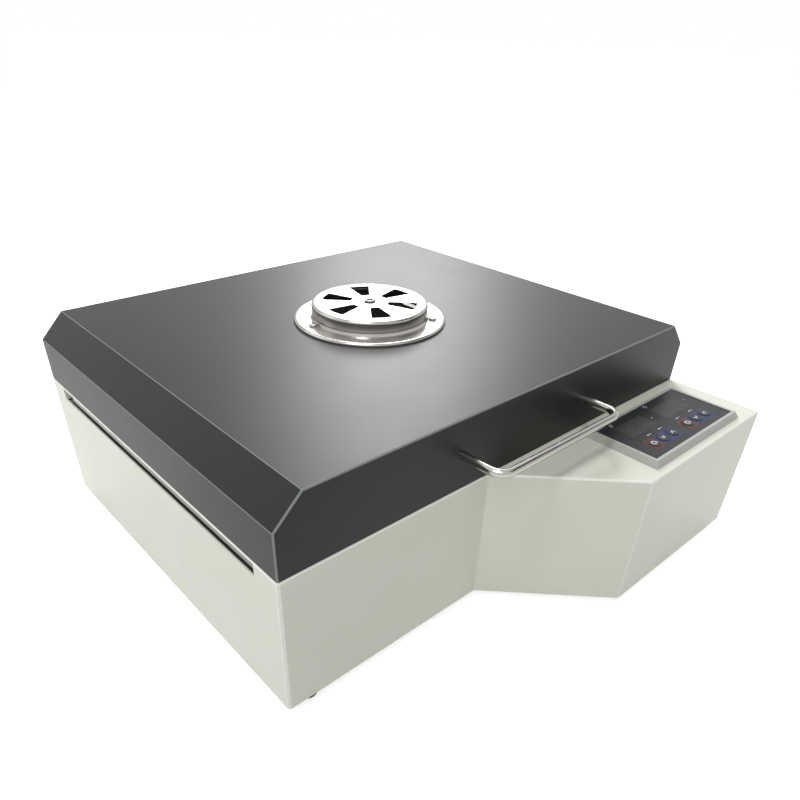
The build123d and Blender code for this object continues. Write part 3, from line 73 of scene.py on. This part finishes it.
class Finish:
    """A material under construction: its node tree, its shader and where a point lies."""

    def __init__(self, name, colour, roughness, metallic=0.0, **sockets):
        self.material = bpy.data.materials.new(name)
        self.material.use_nodes = True
        self.tree = self.material.node_tree
        self.shader = self.tree.nodes["Principled BSDF"]
        self.shader.inputs["Base Color"].default_value = linear(colour)
        self.shader.inputs["Roughness"].default_value = roughness
        self.shader.inputs["Metallic"].default_value = metallic
        for socket, value in sockets.items():
            self.shader.inputs[socket.replace("_", " ")].default_value = value
        self.place = add(self.tree, "ShaderNodeTexCoord").outputs["Object"]

    def grain(self, size_mm, detail=2.0):
        """Noise from 0 to 1 whose patches have a size along each axis."""
        scale = [1 / (size * MM) for size in size_mm]
        laid = add(self.tree, "ShaderNodeMapping", {"Vector": self.place, "Scale": scale})
        return add(self.tree, "ShaderNodeTexNoise",
                   {"Vector": laid.outputs[0], "Scale": 1.0, "Detail": detail}).outputs[0]

    def round_axis(self, foot):
        """How far a point lies from an upright axis over a foot, and how high above the foot."""
        offset = add(self.tree, "ShaderNodeVectorMath", {0: self.place, 1: foot},
                     operation="SUBTRACT").outputs[0]
        level = add(self.tree, "ShaderNodeVectorMath", {0: offset, 1: (1, 1, 0)},
                    operation="MULTIPLY").outputs[0]
        radius = add(self.tree, "ShaderNodeVectorMath", {0: level}, operation="LENGTH")
        height = add(self.tree, "ShaderNodeSeparateXYZ", {0: offset})
        return radius.outputs["Value"], height.outputs["Z"]

    def rings(self, foot, size_mm):
        """Noise from 0 to 1 that runs in rings round an upright axis."""
        radius, height = self.round_axis(foot)
        rolled = add(self.tree, "ShaderNodeCombineXYZ", {"X": radius, "Y": height})
        return add(self.tree, "ShaderNodeTexNoise",
                   {"Vector": rolled.outputs[0], "Scale": 1 / (size_mm * MM),
                    "Detail": 2.0}).outputs[0]

    def relief(self, height, depth_mm, strength):
        """Raise and sink the surface by a pattern."""
        before = self.shader.inputs["Normal"].links
        inputs = {"Height": height, "Distance": depth_mm * MM, "Strength": strength}
        if before:
            inputs["Normal"] = before[0].from_socket
        bump = add(self.tree, "ShaderNodeBump", inputs)
        self.tree.links.new(bump.outputs[0], self.shader.inputs["Normal"])
        return self

    def vary(self, socket, pattern, low, high):
        """Run one of the shader's numbers between two values."""
        spread = add(self.tree, "ShaderNodeMapRange",
                     {"Value": pattern, "From Min": NOISE_LOW, "From Max": NOISE_HIGH,
                      "To Min": low, "To Max": high})
        self.tree.links.new(spread.outputs[0], self.shader.inputs[socket])
        return self

    def blend_colour(self, factor, start, end):
        """Run the base colour from one colour to another by a factor from 0 to 1."""
        mix = add(self.tree, "ShaderNodeMix", {0: factor, MIX_FROM: start, MIX_TO: end},
                  data_type="RGBA")
        self.tree.links.new(mix.outputs[MIXED], self.shader.inputs["Base Color"])
        return self

    def tint(self, pattern, low, high):
        """Spread the colour between two colours by a pattern."""
        factor = add(self.tree, "ShaderNodeMapRange",
                     {"Value": pattern, "From Min": NOISE_LOW, "From Max": NOISE_HIGH})
        return self.blend_colour(factor.outputs[0], linear(low), linear(high))

    def painted_bend_highlight(self, colour, slant, hollow=None):
        """A painted highlight where the sheet is bent outward: a paler colour on faces neither
        along an axis nor on a slant, and away from the upright corner that is bent inward, if
        there is one."""
        facing = add(self.tree, "ShaderNodeVectorMath",
                     {0: add(self.tree, "ShaderNodeTexCoord").outputs["Normal"]},
                     operation="ABSOLUTE").outputs[0]
        along = add(self.tree, "ShaderNodeSeparateXYZ", {0: facing}).outputs
        flat = add(self.tree, "ShaderNodeVectorMath", {0: facing, 1: slant},
                   operation="DOT_PRODUCT").outputs["Value"]
        for part in along:
            flat = add(self.tree, "ShaderNodeMath", {0: flat, 1: part},
                       operation="MAXIMUM").outputs[0]
        bent = add(self.tree, "ShaderNodeMapRange",
                   {"Value": flat, "From Min": FLAT, "From Max": BENT}).outputs[0]
        if hollow:
            radius, _ = self.round_axis(hollow)
            outward = add(self.tree, "ShaderNodeMath", {0: radius, 1: POD_ROOT_REACH},
                          operation="GREATER_THAN").outputs[0]
            bent = add(self.tree, "ShaderNodeMath", {0: bent, 1: outward},
                       operation="MULTIPLY").outputs[0]
        under = self.shader.inputs["Base Color"].links[0].from_socket
        return self.blend_colour(bent, under, linear(colour))


def powder_coat(name, low, high, bend_highlight, slant, roughness, specular, hollow=None):
    """Satin epoxy powder baked on steel: a fine orange peel, and a painted highlight on the
    outward bends.

    The peel is 0.5 to 1.6 mm across, as on the real sheet. The patches of colour and gloss are
    as wide as the sprayed passes.
    """
    coat = Finish(name, low, roughness, Specular_IOR_Level=specular)
    coat.tint(coat.grain((70, 70, 70)), low, high)
    coat.painted_bend_highlight(bend_highlight, slant, hollow)
    coat.vary("Roughness", coat.grain((45, 45, 45)), roughness - 0.008, roughness + 0.008)
    coat.relief(coat.grain((1.6, 1.6, 1.6)), 0.012, 0.5)
    return coat.relief(coat.grain((0.5, 0.5, 0.5)), 0.004, 0.5).material


def worked_metal(name, low, high, roughness, grain_mm):
    """Rolled, drawn or plated metal: faint lines or spots as it was worked, and cloudy patches.

    The lines of a mill are a few hundredths of a millimetre wide, and are drawn half a
    millimetre wide so that they show.
    """
    metal = Finish(name, low, roughness, metallic=1.0)
    lines = metal.grain(grain_mm)
    metal.tint(metal.grain((60, 60, 60)), low, high)
    metal.vary("Roughness", lines, roughness - 0.06, roughness + 0.08)
    return metal.relief(lines, 0.003, 0.4).material


def moulding(name, colour, roughness, texture_mm=0.4, depth_mm=0.006):
    """Injection moulded plastic with the spark texture of its tool, drawn coarse enough to
    show."""
    plastic = Finish(name, colour, roughness)
    plastic.vary("Roughness", plastic.grain((12, 12, 12)), roughness - 0.03, roughness + 0.03)
    return plastic.relief(plastic.grain((texture_mm,) * 3), depth_mm, 0.5).material


def middle(node):
    """The middle of a node's box."""
    low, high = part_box(node)
    return (low + high) / 2


vent_middle = middle("vent_cap")
vent_axis = (vent_middle.x, vent_middle.y, 0)


def pressed_stainless():
    """Stainless sheet, spun and polished: bright, with hair lines in rings round its middle.

    The real hair lines are finer, and are drawn half a millimetre wide so that they show.
    """
    steel = Finish("polished_stainless", "#aeaca8", 0.22, metallic=1.0)
    hair_lines = steel.rings(vent_axis, 0.5)
    steel.vary("Roughness", hair_lines, 0.17, 0.27)
    return steel.relief(hair_lines, 0.002, 0.35).material


def drawn_stainless():
    """Round stainless bar, drawn and polished: nearly a mirror, with slight draw marks.

    The marks are drawn half a millimetre wide, wider than real ones, so that they show.
    """
    bar = Finish("drawn_stainless", "#aeaca8", 0.22, metallic=1.0)
    bar.vary("Roughness", bar.grain((9, 9, 0.5)), 0.19, 0.25)
    return bar.relief(bar.grain((14, 14, 0.8)), 0.002, 0.1).material


def heated_sheath():
    """Stainless heater sheath after use: straw and brown heat tints over bare metal."""
    sheath = Finish("heat_tinted_sheath", "#6a5a48", 0.34, metallic=1.0)
    sheath.tint(sheath.grain((40, 25, 25)), "#4a4038", "#8a7558")
    return sheath.relief(sheath.grain((1.5, 0.4, 0.4)), 0.004, 0.4).material


def fibre_blanket():
    """Ceramic fibre blanket: white, matt and slightly matted."""
    wool = Finish("ceramic_fibre_blanket", "#e8e6df", 0.95, Specular_IOR_Level=0.1)
    wool.tint(wool.grain((14, 14, 6)), "#dedbd2", "#f0eee8")
    wool.relief(wool.grain((9, 9, 9), 4.0), 0.8, 0.6)
    return wool.relief(wool.grain((0.7, 0.7, 0.3), 3.0), 0.15, 0.6).material


def fired_ceramic():
    """Steatite bush, pressed and fired without a glaze: off-white with a chalky face."""
    body = Finish("steatite", "#e4dfd2", 0.62)
    body.tint(body.grain((3, 3, 3)), "#dcd6c8", "#ebe7dc")
    return body.relief(body.grain((0.4, 0.4, 0.4)), 0.01, 0.4).material


def circuit_laminate():
    """Glass-epoxy board under green lacquer, with the weave just showing."""
    board = Finish("green_lacquered_laminate", "#155a36", 0.32)
    board.tint(board.grain((5, 1.5, 1.5)), "#124c2e", "#1a6a41")
    return board.relief(board.grain((0.6, 0.6, 0.6)), 0.004, 0.4).material


def vulcanised_rubber():
    """Moulded black rubber: matt, with the greyish bloom that old rubber has."""
    rubber = Finish("moulded_rubber", "#161616", 0.75)
    rubber.tint(rubber.grain((4, 4, 4), 3.0), "#121212", "#1f1f1e")
    return rubber.relief(rubber.grain((0.5, 0.5, 0.5)), 0.02, 0.5).material


def printed_film(name, colour, roughness):
    """Polyester keypad film, printed behind: an even satin, with its velvet drawn coarse enough
    to show."""
    film = Finish(name, colour, roughness, Specular_IOR_Level=0.35)
    film.vary("Roughness", film.grain((8, 8, 8)), roughness - 0.03, roughness + 0.04)
    return film.relief(film.grain((0.35, 0.35, 0.35)), 0.003, 0.4).material


def smoked_acrylic():
    """Smoked acrylic over an unlit display: grey, mottled by the module behind it."""
    window = Finish("smoked_acrylic", "#3b3c3c", 0.34, Specular_IOR_Level=0.25)
    return window.tint(window.grain((3.5, 2.0, 3.5), 3.0), "#353636", "#454645").material


# The case: warm pale grey, satin. The lid: near black, a little duller, so that a light
# spreads wide across it.
# The palest colour of each coat is the painted highlight along its outward bends.
base_coat = powder_coat("light_grey_powder_coat", "#d9dbcd", "#dddfd2", "#eef0e8", POD_SLANT,
                        0.38, 0.4, POD_ROOT)
lid_coat = powder_coat("charcoal_powder_coat", "#121513", "#161917", "#7e8280", LID_SLANT,
                       0.42, 0.26)

# Bare sheet: light grey, with lines along the oven. The strip in the slot is darker, as painted
# shade.
bare_sheet = worked_metal("cold_rolled_sheet", "#a9aaa8", "#b6b7b5", 0.34, (0.5, 60, 0.5))
slot_sheet_painted_shade = worked_metal("slot_strip_metal_with_painted_shade", "#70726f", "#7d7f7c", 0.4, (0.5, 60, 0.5))

# Zinc: bluish and softly spotted. Chrome: the brightest, with lines along the wire.
plated_steel = worked_metal("zinc_plated_steel", "#b7bbbf", "#c6c9cb", 0.28, (2, 2, 2))
rack_wire = worked_metal("chromed_wire", "#c4c5c6", "#d0d1d2", 0.16, (0.6, 30, 0.6))

# The rivet's steel is darkened as a painted shade of a dimple, so that it stands dark against the
# cap;
# nickel is yellowish, and the extruded sink is a whitish grey with its lines along the fins.
rivet_painted_shade = worked_metal("rivet_metal_with_painted_shade", "#3c3c3b", "#484847", 0.26, (0.6, 0.6, 0.6))
nickel_plate = worked_metal("nickel_plate", "#c9c1ae", "#d5cdb9", 0.24, (1.5, 1.5, 1.5))
sink_extrusion = worked_metal("extruded_aluminium", "#bfc1c3", "#cccdcf", 0.36, (0.5, 50, 0.5))

stainless_vent = pressed_stainless()
stainless_bar = drawn_stainless()
sheath = heated_sheath()
wool = fibre_blanket()
ceramic = fired_ceramic()
board_green = circuit_laminate()
rubber = vulcanised_rubber()
window_grey = smoked_acrylic()

# Mouldings: a silver-grey satin frame, black matt housings and a rocker that shines
bezel_plastic = moulding("silver_grey_abs", "#b0b3ad", 0.36)
housing_plastic = moulding("black_abs", "#1b1c1d", 0.45)
rocker_plastic = moulding("gloss_black_nylon", "#141415", 0.22, 0.8, 0.003)

# The face is a bluish black, its keys a little paler and glossier, and the inks are deep
# and even. Unlit digits hardly stand out from their window.
face_black = printed_film("black_keypad_film", "#1c2024", 0.36)
key_black = printed_film("embossed_key_film", "#23252c", 0.32)
ink_red = printed_film("red_screen_ink", "#692622", 0.42)
ink_blue = printed_film("blue_screen_ink", "#1f3163", 0.42)
ink_white = printed_film("white_screen_ink", "#d6d8da", 0.45)
segment_grey = printed_film("unlit_segment", "#4b4d4c", 0.35)

finishes = {
    base_coat: ["base_casing", "pod_side_panel", "left_side_panel", "right_side_panel",
                "back_panel"],
    lid_coat: ["lid_shell"],
    bare_sheet: ["bottom_plate", "chamber_liner", "chamber_walls", "chamber_brackets",
                 "heater_supports", "rack_ledges", "lid_liner", "lid_liner_rails", "vent_duct",
                 "controller_clips"],
    slot_sheet_painted_shade: ["slot_shield"],
    stainless_vent: ["vent_flange", "vent_cap", "vent_shutter", "vent_screws"],
    rivet_painted_shade: ["vent_rivet"],
    stainless_bar: ["handle"],
    rack_wire: ["film_rack"],
    plated_steel: ["bottom_plate_screws", "foot_screws", "lid_liner_screws", "handle_screws",
                   "lid_hinge_screws", "base_hinge_screws", "inlet_screws", "lid_hinge_leaves",
                   "base_hinge_leaves", "hinge_pins"],
    sheath: ["heater_tubes", "temperature_probe"],
    ceramic: ["heater_bushings"],
    nickel_plate: ["heater_terminals", "inlet_pins"],
    wool: ["chamber_insulation", "lid_insulation"],
    rubber: ["rubber_feet"],
    bezel_plastic: ["controller_bezel"],
    face_black: ["controller_face"],
    window_grey: ["temperature_display", "timer_display"],
    key_black: ["temperature_set_key", "temperature_down_key", "temperature_up_key",
                "timer_set_key", "timer_down_key", "timer_up_key"],
    housing_plastic: ["controller_housing", "terminal_block", "power_inlet", "switch_body",
                      "solid_state_relay"],
    rocker_plastic: ["switch_rocker"],
    board_green: ["controller_board"],
    sink_extrusion: ["heat_sink"],
}
for material, names in finishes.items():
    for name in names:
        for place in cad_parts[name].material_slots:
            place.material = material


def circle(x, y, radius, start=0.0, sweep=360.0, steps=CIRCLE_STEPS):
    """Points round a circle or along an arc of it."""
    count = steps if sweep == 360.0 else steps + 1
    return [(x + radius * math.cos(math.radians(start + sweep * i / steps)),
             y + radius * math.sin(math.radians(start + sweep * i / steps))) for i in range(count)]


def rounded_box(x, y, width, depth, radius):
    """Points round a rectangle with rounded corners."""
    points = []
    for turn, (side_x, side_y) in enumerate(((1, 1), (-1, 1), (-1, -1), (1, -1))):
        points += circle(x + side_x * (width / 2 - radius), y + side_y * (depth / 2 - radius),
                         radius, turn * 90.0, 90.0, CORNER_STEPS)
    return points


INK_THICKNESS = 0.06 * MM


def printed(name, shapes, level, body, material):
    """Thin printed ink on a surface: each shape is a list of outlines, the first its edge."""
    curve = bpy.data.curves.new(name, "CURVE")
    curve.dimensions = "2D"
    curve.fill_mode = "BOTH"
    curve.extrude = INK_THICKNESS / 2
    for outlines in shapes:
        for outline in outlines:
            spline = curve.splines.new("POLY")
            spline.points.add(len(outline) - 1)
            for point, (x, y) in zip(spline.points, outline):
                point.co = (x, y, 0, 1)
            spline.use_cyclic_u = True
    drawn = bpy.data.objects.new(name, curve)
    bpy.context.collection.objects.link(drawn)
    mesh = bpy.data.meshes.new_from_object(drawn)
    bpy.data.objects.remove(drawn)
    mesh.transform(Matrix.Translation((0, 0, level + INK_THICKNESS / 2)))
    mesh.name = name
    mesh.materials.clear()
    mesh.materials.append(material)
    piece = bpy.data.objects.new(name, mesh)
    bpy.context.collection.objects.link(piece)
    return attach(piece, body)


# Printing on the control face. Places are in millimetres from the middle of the bezel.
GROUPS = ("temperature", "timer")
KEY_SKIRT = 1.0 * MM  # a key is wider below the face
KEY_GAP = 0.2 * MM
FIELD_DEPTH, FIELD_CORNER = 16.2 * MM, 0.8 * MM
SET_FIELD_WIDTH, ARROW_FIELD_WIDTH = 16.2 * MM, 33.4 * MM
bezel_middle = middle("controller_bezel")
face_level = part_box("controller_face")[1].z
key_radius = (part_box("timer_set_key")[1].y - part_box("timer_set_key")[0].y) / 2 - KEY_SKIRT


def on_panel(x, y):
    """A place on the control face in the frame."""
    return bezel_middle.x + x * MM, bezel_middle.y + y * MM


def key_hole(key):
    """The round cut in the ink where a key comes through."""
    spot = middle(key)
    return circle(spot.x, spot.y, key_radius + KEY_GAP)


def key_field(name, keys, width, ink):
    """A block of ink round one or more keys."""
    spots = [middle(key) for key in keys]
    x = sum(spot.x for spot in spots) / len(spots)
    edge = rounded_box(x, spots[0].y, width, FIELD_DEPTH, FIELD_CORNER)
    printed(name, [[edge] + [key_hole(key) for key in keys]], face_level, "base", ink)


for group in GROUPS:
    key_field(f"{group}_set_key_square", [f"{group}_set_key"], SET_FIELD_WIDTH, ink_red)
    key_field(f"{group}_arrow_key_block", [f"{group}_down_key", f"{group}_up_key"],
              ARROW_FIELD_WIDTH, ink_blue)


def chevron(x, y, way):
    """A thick arrow head that points up, where way is 1, or down, where it is -1."""
    half, rise, drop, thick = 2.6 * MM, 2.2 * MM, 0.9 * MM, 1.5 * MM
    thick_at_tip = thick * 1.25
    tip = y + way * rise
    foot = y - way * drop
    return [(x - half, foot), (x, tip), (x + half, foot), (x + half, foot - way * thick),
            (x, tip - way * thick_at_tip), (x - half, foot - way * thick)]


def return_arrow(x, y):
    """Most of a ring, and the arrow head that closes it."""
    outer, inner = 3.1 * MM, 1.9 * MM
    start, sweep, steps = -20.0, 290.0, 30
    band = (circle(x, y, outer, start, sweep, steps)
            + circle(x, y, inner, start + sweep, -sweep, steps))
    point_x, point_y = circle(x, y, (outer + inner) / 2, start)[0]
    reach, lift, lean = 1.9 * MM, 0.2 * MM, 0.1 * MM
    head = [(point_x - reach, point_y + lift), (point_x + reach, point_y + lift),
            (point_x + lean, point_y - reach)]
    return band, head


for group in GROUPS:
    for job in ("set", "down", "up"):
        key = f"{group}_{job}_key"
        spot = middle(key)
        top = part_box(key)[1].z
        if job == "set":
            band, head = return_arrow(spot.x, spot.y)
            shapes = [[band], [head]]
        else:
            shapes = [[chevron(spot.x, spot.y, 1 if job == "up" else -1)]]
        printed(f"{key}_symbol", shapes, top, f"{key}_cap", ink_white)


# Each bar of a digit: its column and row from the middle, in half widths and half heights,
# and whether it stands upright
SEGMENTS = ((0, 1, False), (0, 0, False), (0, -1, False),
            (-1, 0.5, True), (1, 0.5, True), (-1, -0.5, True), (1, -0.5, True))
DIGIT_WIDTH, DIGIT_HEIGHT, DIGIT_LEAN = 6.2 * MM, 12.4 * MM, 0.09
BAR_THICKNESS = 1.15 * MM
BAR_TRIM = 0.62 * BAR_THICKNESS  # taken off each end, so that bars don't touch
DIGIT_PLACES = (-1.5, -0.5, 0.5, 1.5)
DIGIT_PITCH, POINT_OFFSET, POINT_RADIUS = 10.6 * MM, 5.0 * MM, 0.6 * MM


def digit(x, y):
    """The seven bars of one unlit digit."""
    thick = BAR_THICKNESS
    bars = []
    for column, row, upright in SEGMENTS:
        bar_x = x + column * DIGIT_WIDTH / 2
        bar_y = y + row * DIGIT_HEIGHT / 2
        half = (DIGIT_HEIGHT / 4 if upright else DIGIT_WIDTH / 2) - BAR_TRIM
        corners = [(-half, 0), (-half + thick / 2, thick / 2), (half - thick / 2, thick / 2),
                   (half, 0), (half - thick / 2, -thick / 2), (-half + thick / 2, -thick / 2)]
        if upright:
            corners = [(-b, a) for a, b in corners]
        bars.append([[(bar_x + a + DIGIT_LEAN * (bar_y + b - y), bar_y + b)
                      for a, b in corners]])
    return bars


for group in GROUPS:
    display = f"{group}_display"
    spot = middle(display)
    shapes = []
    for place in DIGIT_PLACES:
        x = spot.x + place * DIGIT_PITCH
        shapes += digit(x, spot.y)
        shapes.append([circle(x + POINT_OFFSET, spot.y - DIGIT_HEIGHT / 2, POINT_RADIUS,
                              steps=16)])
    printed(f"{display}_digits", shapes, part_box(display)[1].z, "base", segment_grey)


def bar_mark(x, y, width, depth, corner):
    """A small printed bar on the control face."""
    return [rounded_box(*on_panel(x, y), width * MM, depth * MM, corner * MM)]


def dot_mark(x, y, radius, steps):
    """A small printed dot on the control face."""
    return [circle(*on_panel(x, y), radius * MM, steps=steps)]


# White marks: a thermometer and its scale over one window, a clock over the other, and a
# bar and a dot at each lamp
marks = [bar_mark(-52.0, 30.1, 1.1, 4.0, 0.5), dot_mark(-52.0, 28.0, 1.15, 20)]
marks += [bar_mark(-49.8, 29.6 + step * 1.1, 1.4, 0.35, 0.15) for step in (0, 1, 2)]
marks.append(dot_mark(12.0, 29.6, 2.2, 32) + dot_mark(12.0, 29.6, 1.75, 32))
marks += [bar_mark(12.0, 30.2, 0.4, 1.6, 0.15), bar_mark(12.6, 29.5, 1.3, 0.4, 0.15)]
marks += [bar_mark(x, -4.6, 3.2, 1.3, 0.3) for x in (-39.0, -19.0, 15.5, 41.0)]
marks += [dot_mark(x, -4.6, 0.7, 16) for x in (-34.8, -14.8, 19.7, 45.2)]
marks += [dot_mark(x, 12.4, 0.7, 16) for x in (-3.7, 61.0)]
printed("face_marks", marks, face_level, "base", ink_white)


def studio_rays(tree):
    """1 where the camera, a reflection or glass looks, and 0 where a surface gathers light."""
    rays = add(tree, "ShaderNodeLightPath").outputs
    seen = rays["Is Camera Ray"]
    for kind in ("Is Glossy Ray", "Is Transmission Ray"):
        seen = add(tree, "ShaderNodeMath", {0: seen, 1: rays[kind]},
                   operation="MAXIMUM").outputs[0]
    return seen


# A white backdrop that lights the object less than it shows
SKY_ON_SURFACES = 0.43
world = bpy.data.worlds.new("white_studio")
bpy.context.scene.world = world
world.use_nodes = True
backdrop = world.node_tree.nodes["Background"]
backdrop.inputs["Color"].default_value = (1, 1, 1, 1)
strength = add(world.node_tree, "ShaderNodeMapRange",
               {"Value": studio_rays(world.node_tree), "To Min": SKY_ON_SURFACES, "To Max": 1.0})
world.node_tree.links.new(strength.outputs[0], backdrop.inputs["Strength"])


def flat_sheet(name, width, depth, material):
    """A flat sheet for the studio, centred and level."""
    mesh = bpy.data.meshes.new(name)
    mesh.from_pydata([(x * width / 2, y * depth / 2, 0)
                      for x, y in ((-1, -1), (1, -1), (1, 1), (-1, 1))], [], [(0, 1, 2, 3)])
    mesh.materials.append(material)
    sheet = bpy.data.objects.new(name, mesh)
    bpy.context.collection.objects.link(sheet)
    return sheet


# The floor: matt white paper, a plain even white that still takes the object's shadow
FLOOR_SPAN = 80.0
FLOOR_GLOW = 0.69
paper = Finish("white_paper_sweep", "#dededd", 0.9, Specular_IOR_Level=0.0)
paper.shader.inputs["Emission Color"].default_value = (1, 1, 1, 1)
glow = add(paper.tree, "ShaderNodeMath", {0: studio_rays(paper.tree), 1: FLOOR_GLOW},
           operation="MULTIPLY")
paper.tree.links.new(glow.outputs[0], paper.shader.inputs["Emission Strength"])
floor = flat_sheet("studio_floor", FLOOR_SPAN, FLOOR_SPAN, paper.material)

lid_low, lid_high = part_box("lid_shell")
lid_middle = Vector(((lid_low.x + lid_high.x) / 2, (lid_low.y + lid_high.y) / 2, lid_high.z))


def direction(azimuth, elevation):
    """The way to an azimuth, clockwise from the back, and an elevation, in degrees."""
    a, e = math.radians(azimuth), math.radians(elevation)
    return Vector((math.sin(a) * math.cos(e), math.cos(a) * math.cos(e), math.sin(e)))


def set_round_lid(prop, way, distance):
    """Place a lamp or card a distance away from the lid's middle, facing it and out of sight."""
    prop.location = lid_middle + way * distance
    prop.rotation_mode = "QUATERNION"
    prop.rotation_quaternion = way.to_track_quat("Z", "Y")
    prop.visible_camera = False


# Soft lamps round the lid: azimuth and elevation in degrees, distance and size in metres, and
# the brightness of the face. In turn they give the sheen across the lid, the light on the left
# wall and the fronts, the tone of the left chamfer, and the handle's shadow on the pod.
for name, azimuth, elevation, distance, size, radiance in (
        ("back_softbox", 43.5, 38.5, 2.4, (0.75, 1.75), 12.3),
        ("left_softbox", -120.0, 46.0, 2.6, (1.6, 1.2), 3.15),
        ("far_left_softbox", -43.0, 34.0, 2.6, (1.6, 1.2), 1.2),
        ("top_softbox", -112.0, 70.0, 2.6, (0.45, 0.45), 21.5)):
    light = bpy.data.lights.new(name, "AREA")
    light.shape = "RECTANGLE"
    light.size, light.size_y = size
    light.energy = radiance * math.pi * size[0] * size[1]
    lamp = bpy.data.objects.new(name, light)
    bpy.context.collection.objects.link(lamp)
    set_round_lid(lamp, direction(azimuth, elevation), distance)

# Matt black card at the front right, which draws a dark line along polished round metal
CARD_WIDTH, CARD_HEIGHT, CARD_DISTANCE = 1.1, 0.62, 1.5
card_black = Finish("black_card", "#0a0a0a", 0.95, Specular_IOR_Level=0.0).material
flag = flat_sheet("black_card", CARD_WIDTH, CARD_HEIGHT, card_black)
set_round_lid(flag, Vector((0.545, -0.584, 0.602)), CARD_DISTANCE)

# The camera, fitted to the edges of lid and case: its focal length and the middle of the lens
# in pixels of the frame, its place in metres and its turn in degrees
SENSOR_WIDTH = 36.0
FOCAL_PIXELS = 662.6
FRAME_PIXELS = 800.0
PRINCIPAL = (387.39, 507.93)
CAMERA_PLACE = (-0.45033, -0.47957, 0.46923)
CAMERA_AZIMUTH, CAMERA_ELEVATION, CAMERA_ROLL = 42.565, -35.870, 1.698
camera_data = bpy.data.cameras.new("studio_camera")
camera_data.sensor_width = SENSOR_WIDTH
camera_data.lens = SENSOR_WIDTH * FOCAL_PIXELS / FRAME_PIXELS
camera_data.shift_x = (FRAME_PIXELS / 2 - PRINCIPAL[0]) / FRAME_PIXELS
camera_data.shift_y = (PRINCIPAL[1] - FRAME_PIXELS / 2) / FRAME_PIXELS
camera_data.clip_start = 0.02
camera = bpy.data.objects.new("studio_camera", camera_data)
bpy.context.collection.objects.link(camera)
bpy.context.scene.camera = camera
forward = direction(CAMERA_AZIMUTH, CAMERA_ELEVATION)
roll = math.radians(CAMERA_ROLL)
level_right = forward.cross(Vector((0, 0, 1))).normalized()
level_up = level_right.cross(forward)
right = math.cos(roll) * level_right + math.sin(roll) * level_up
up = right.cross(forward)
camera.matrix_world = Matrix.Translation(CAMERA_PLACE) @ Matrix(
    (right, up, -forward)).transposed().to_4x4()

bpy.context.scene.view_settings.view_transform = "Standard"
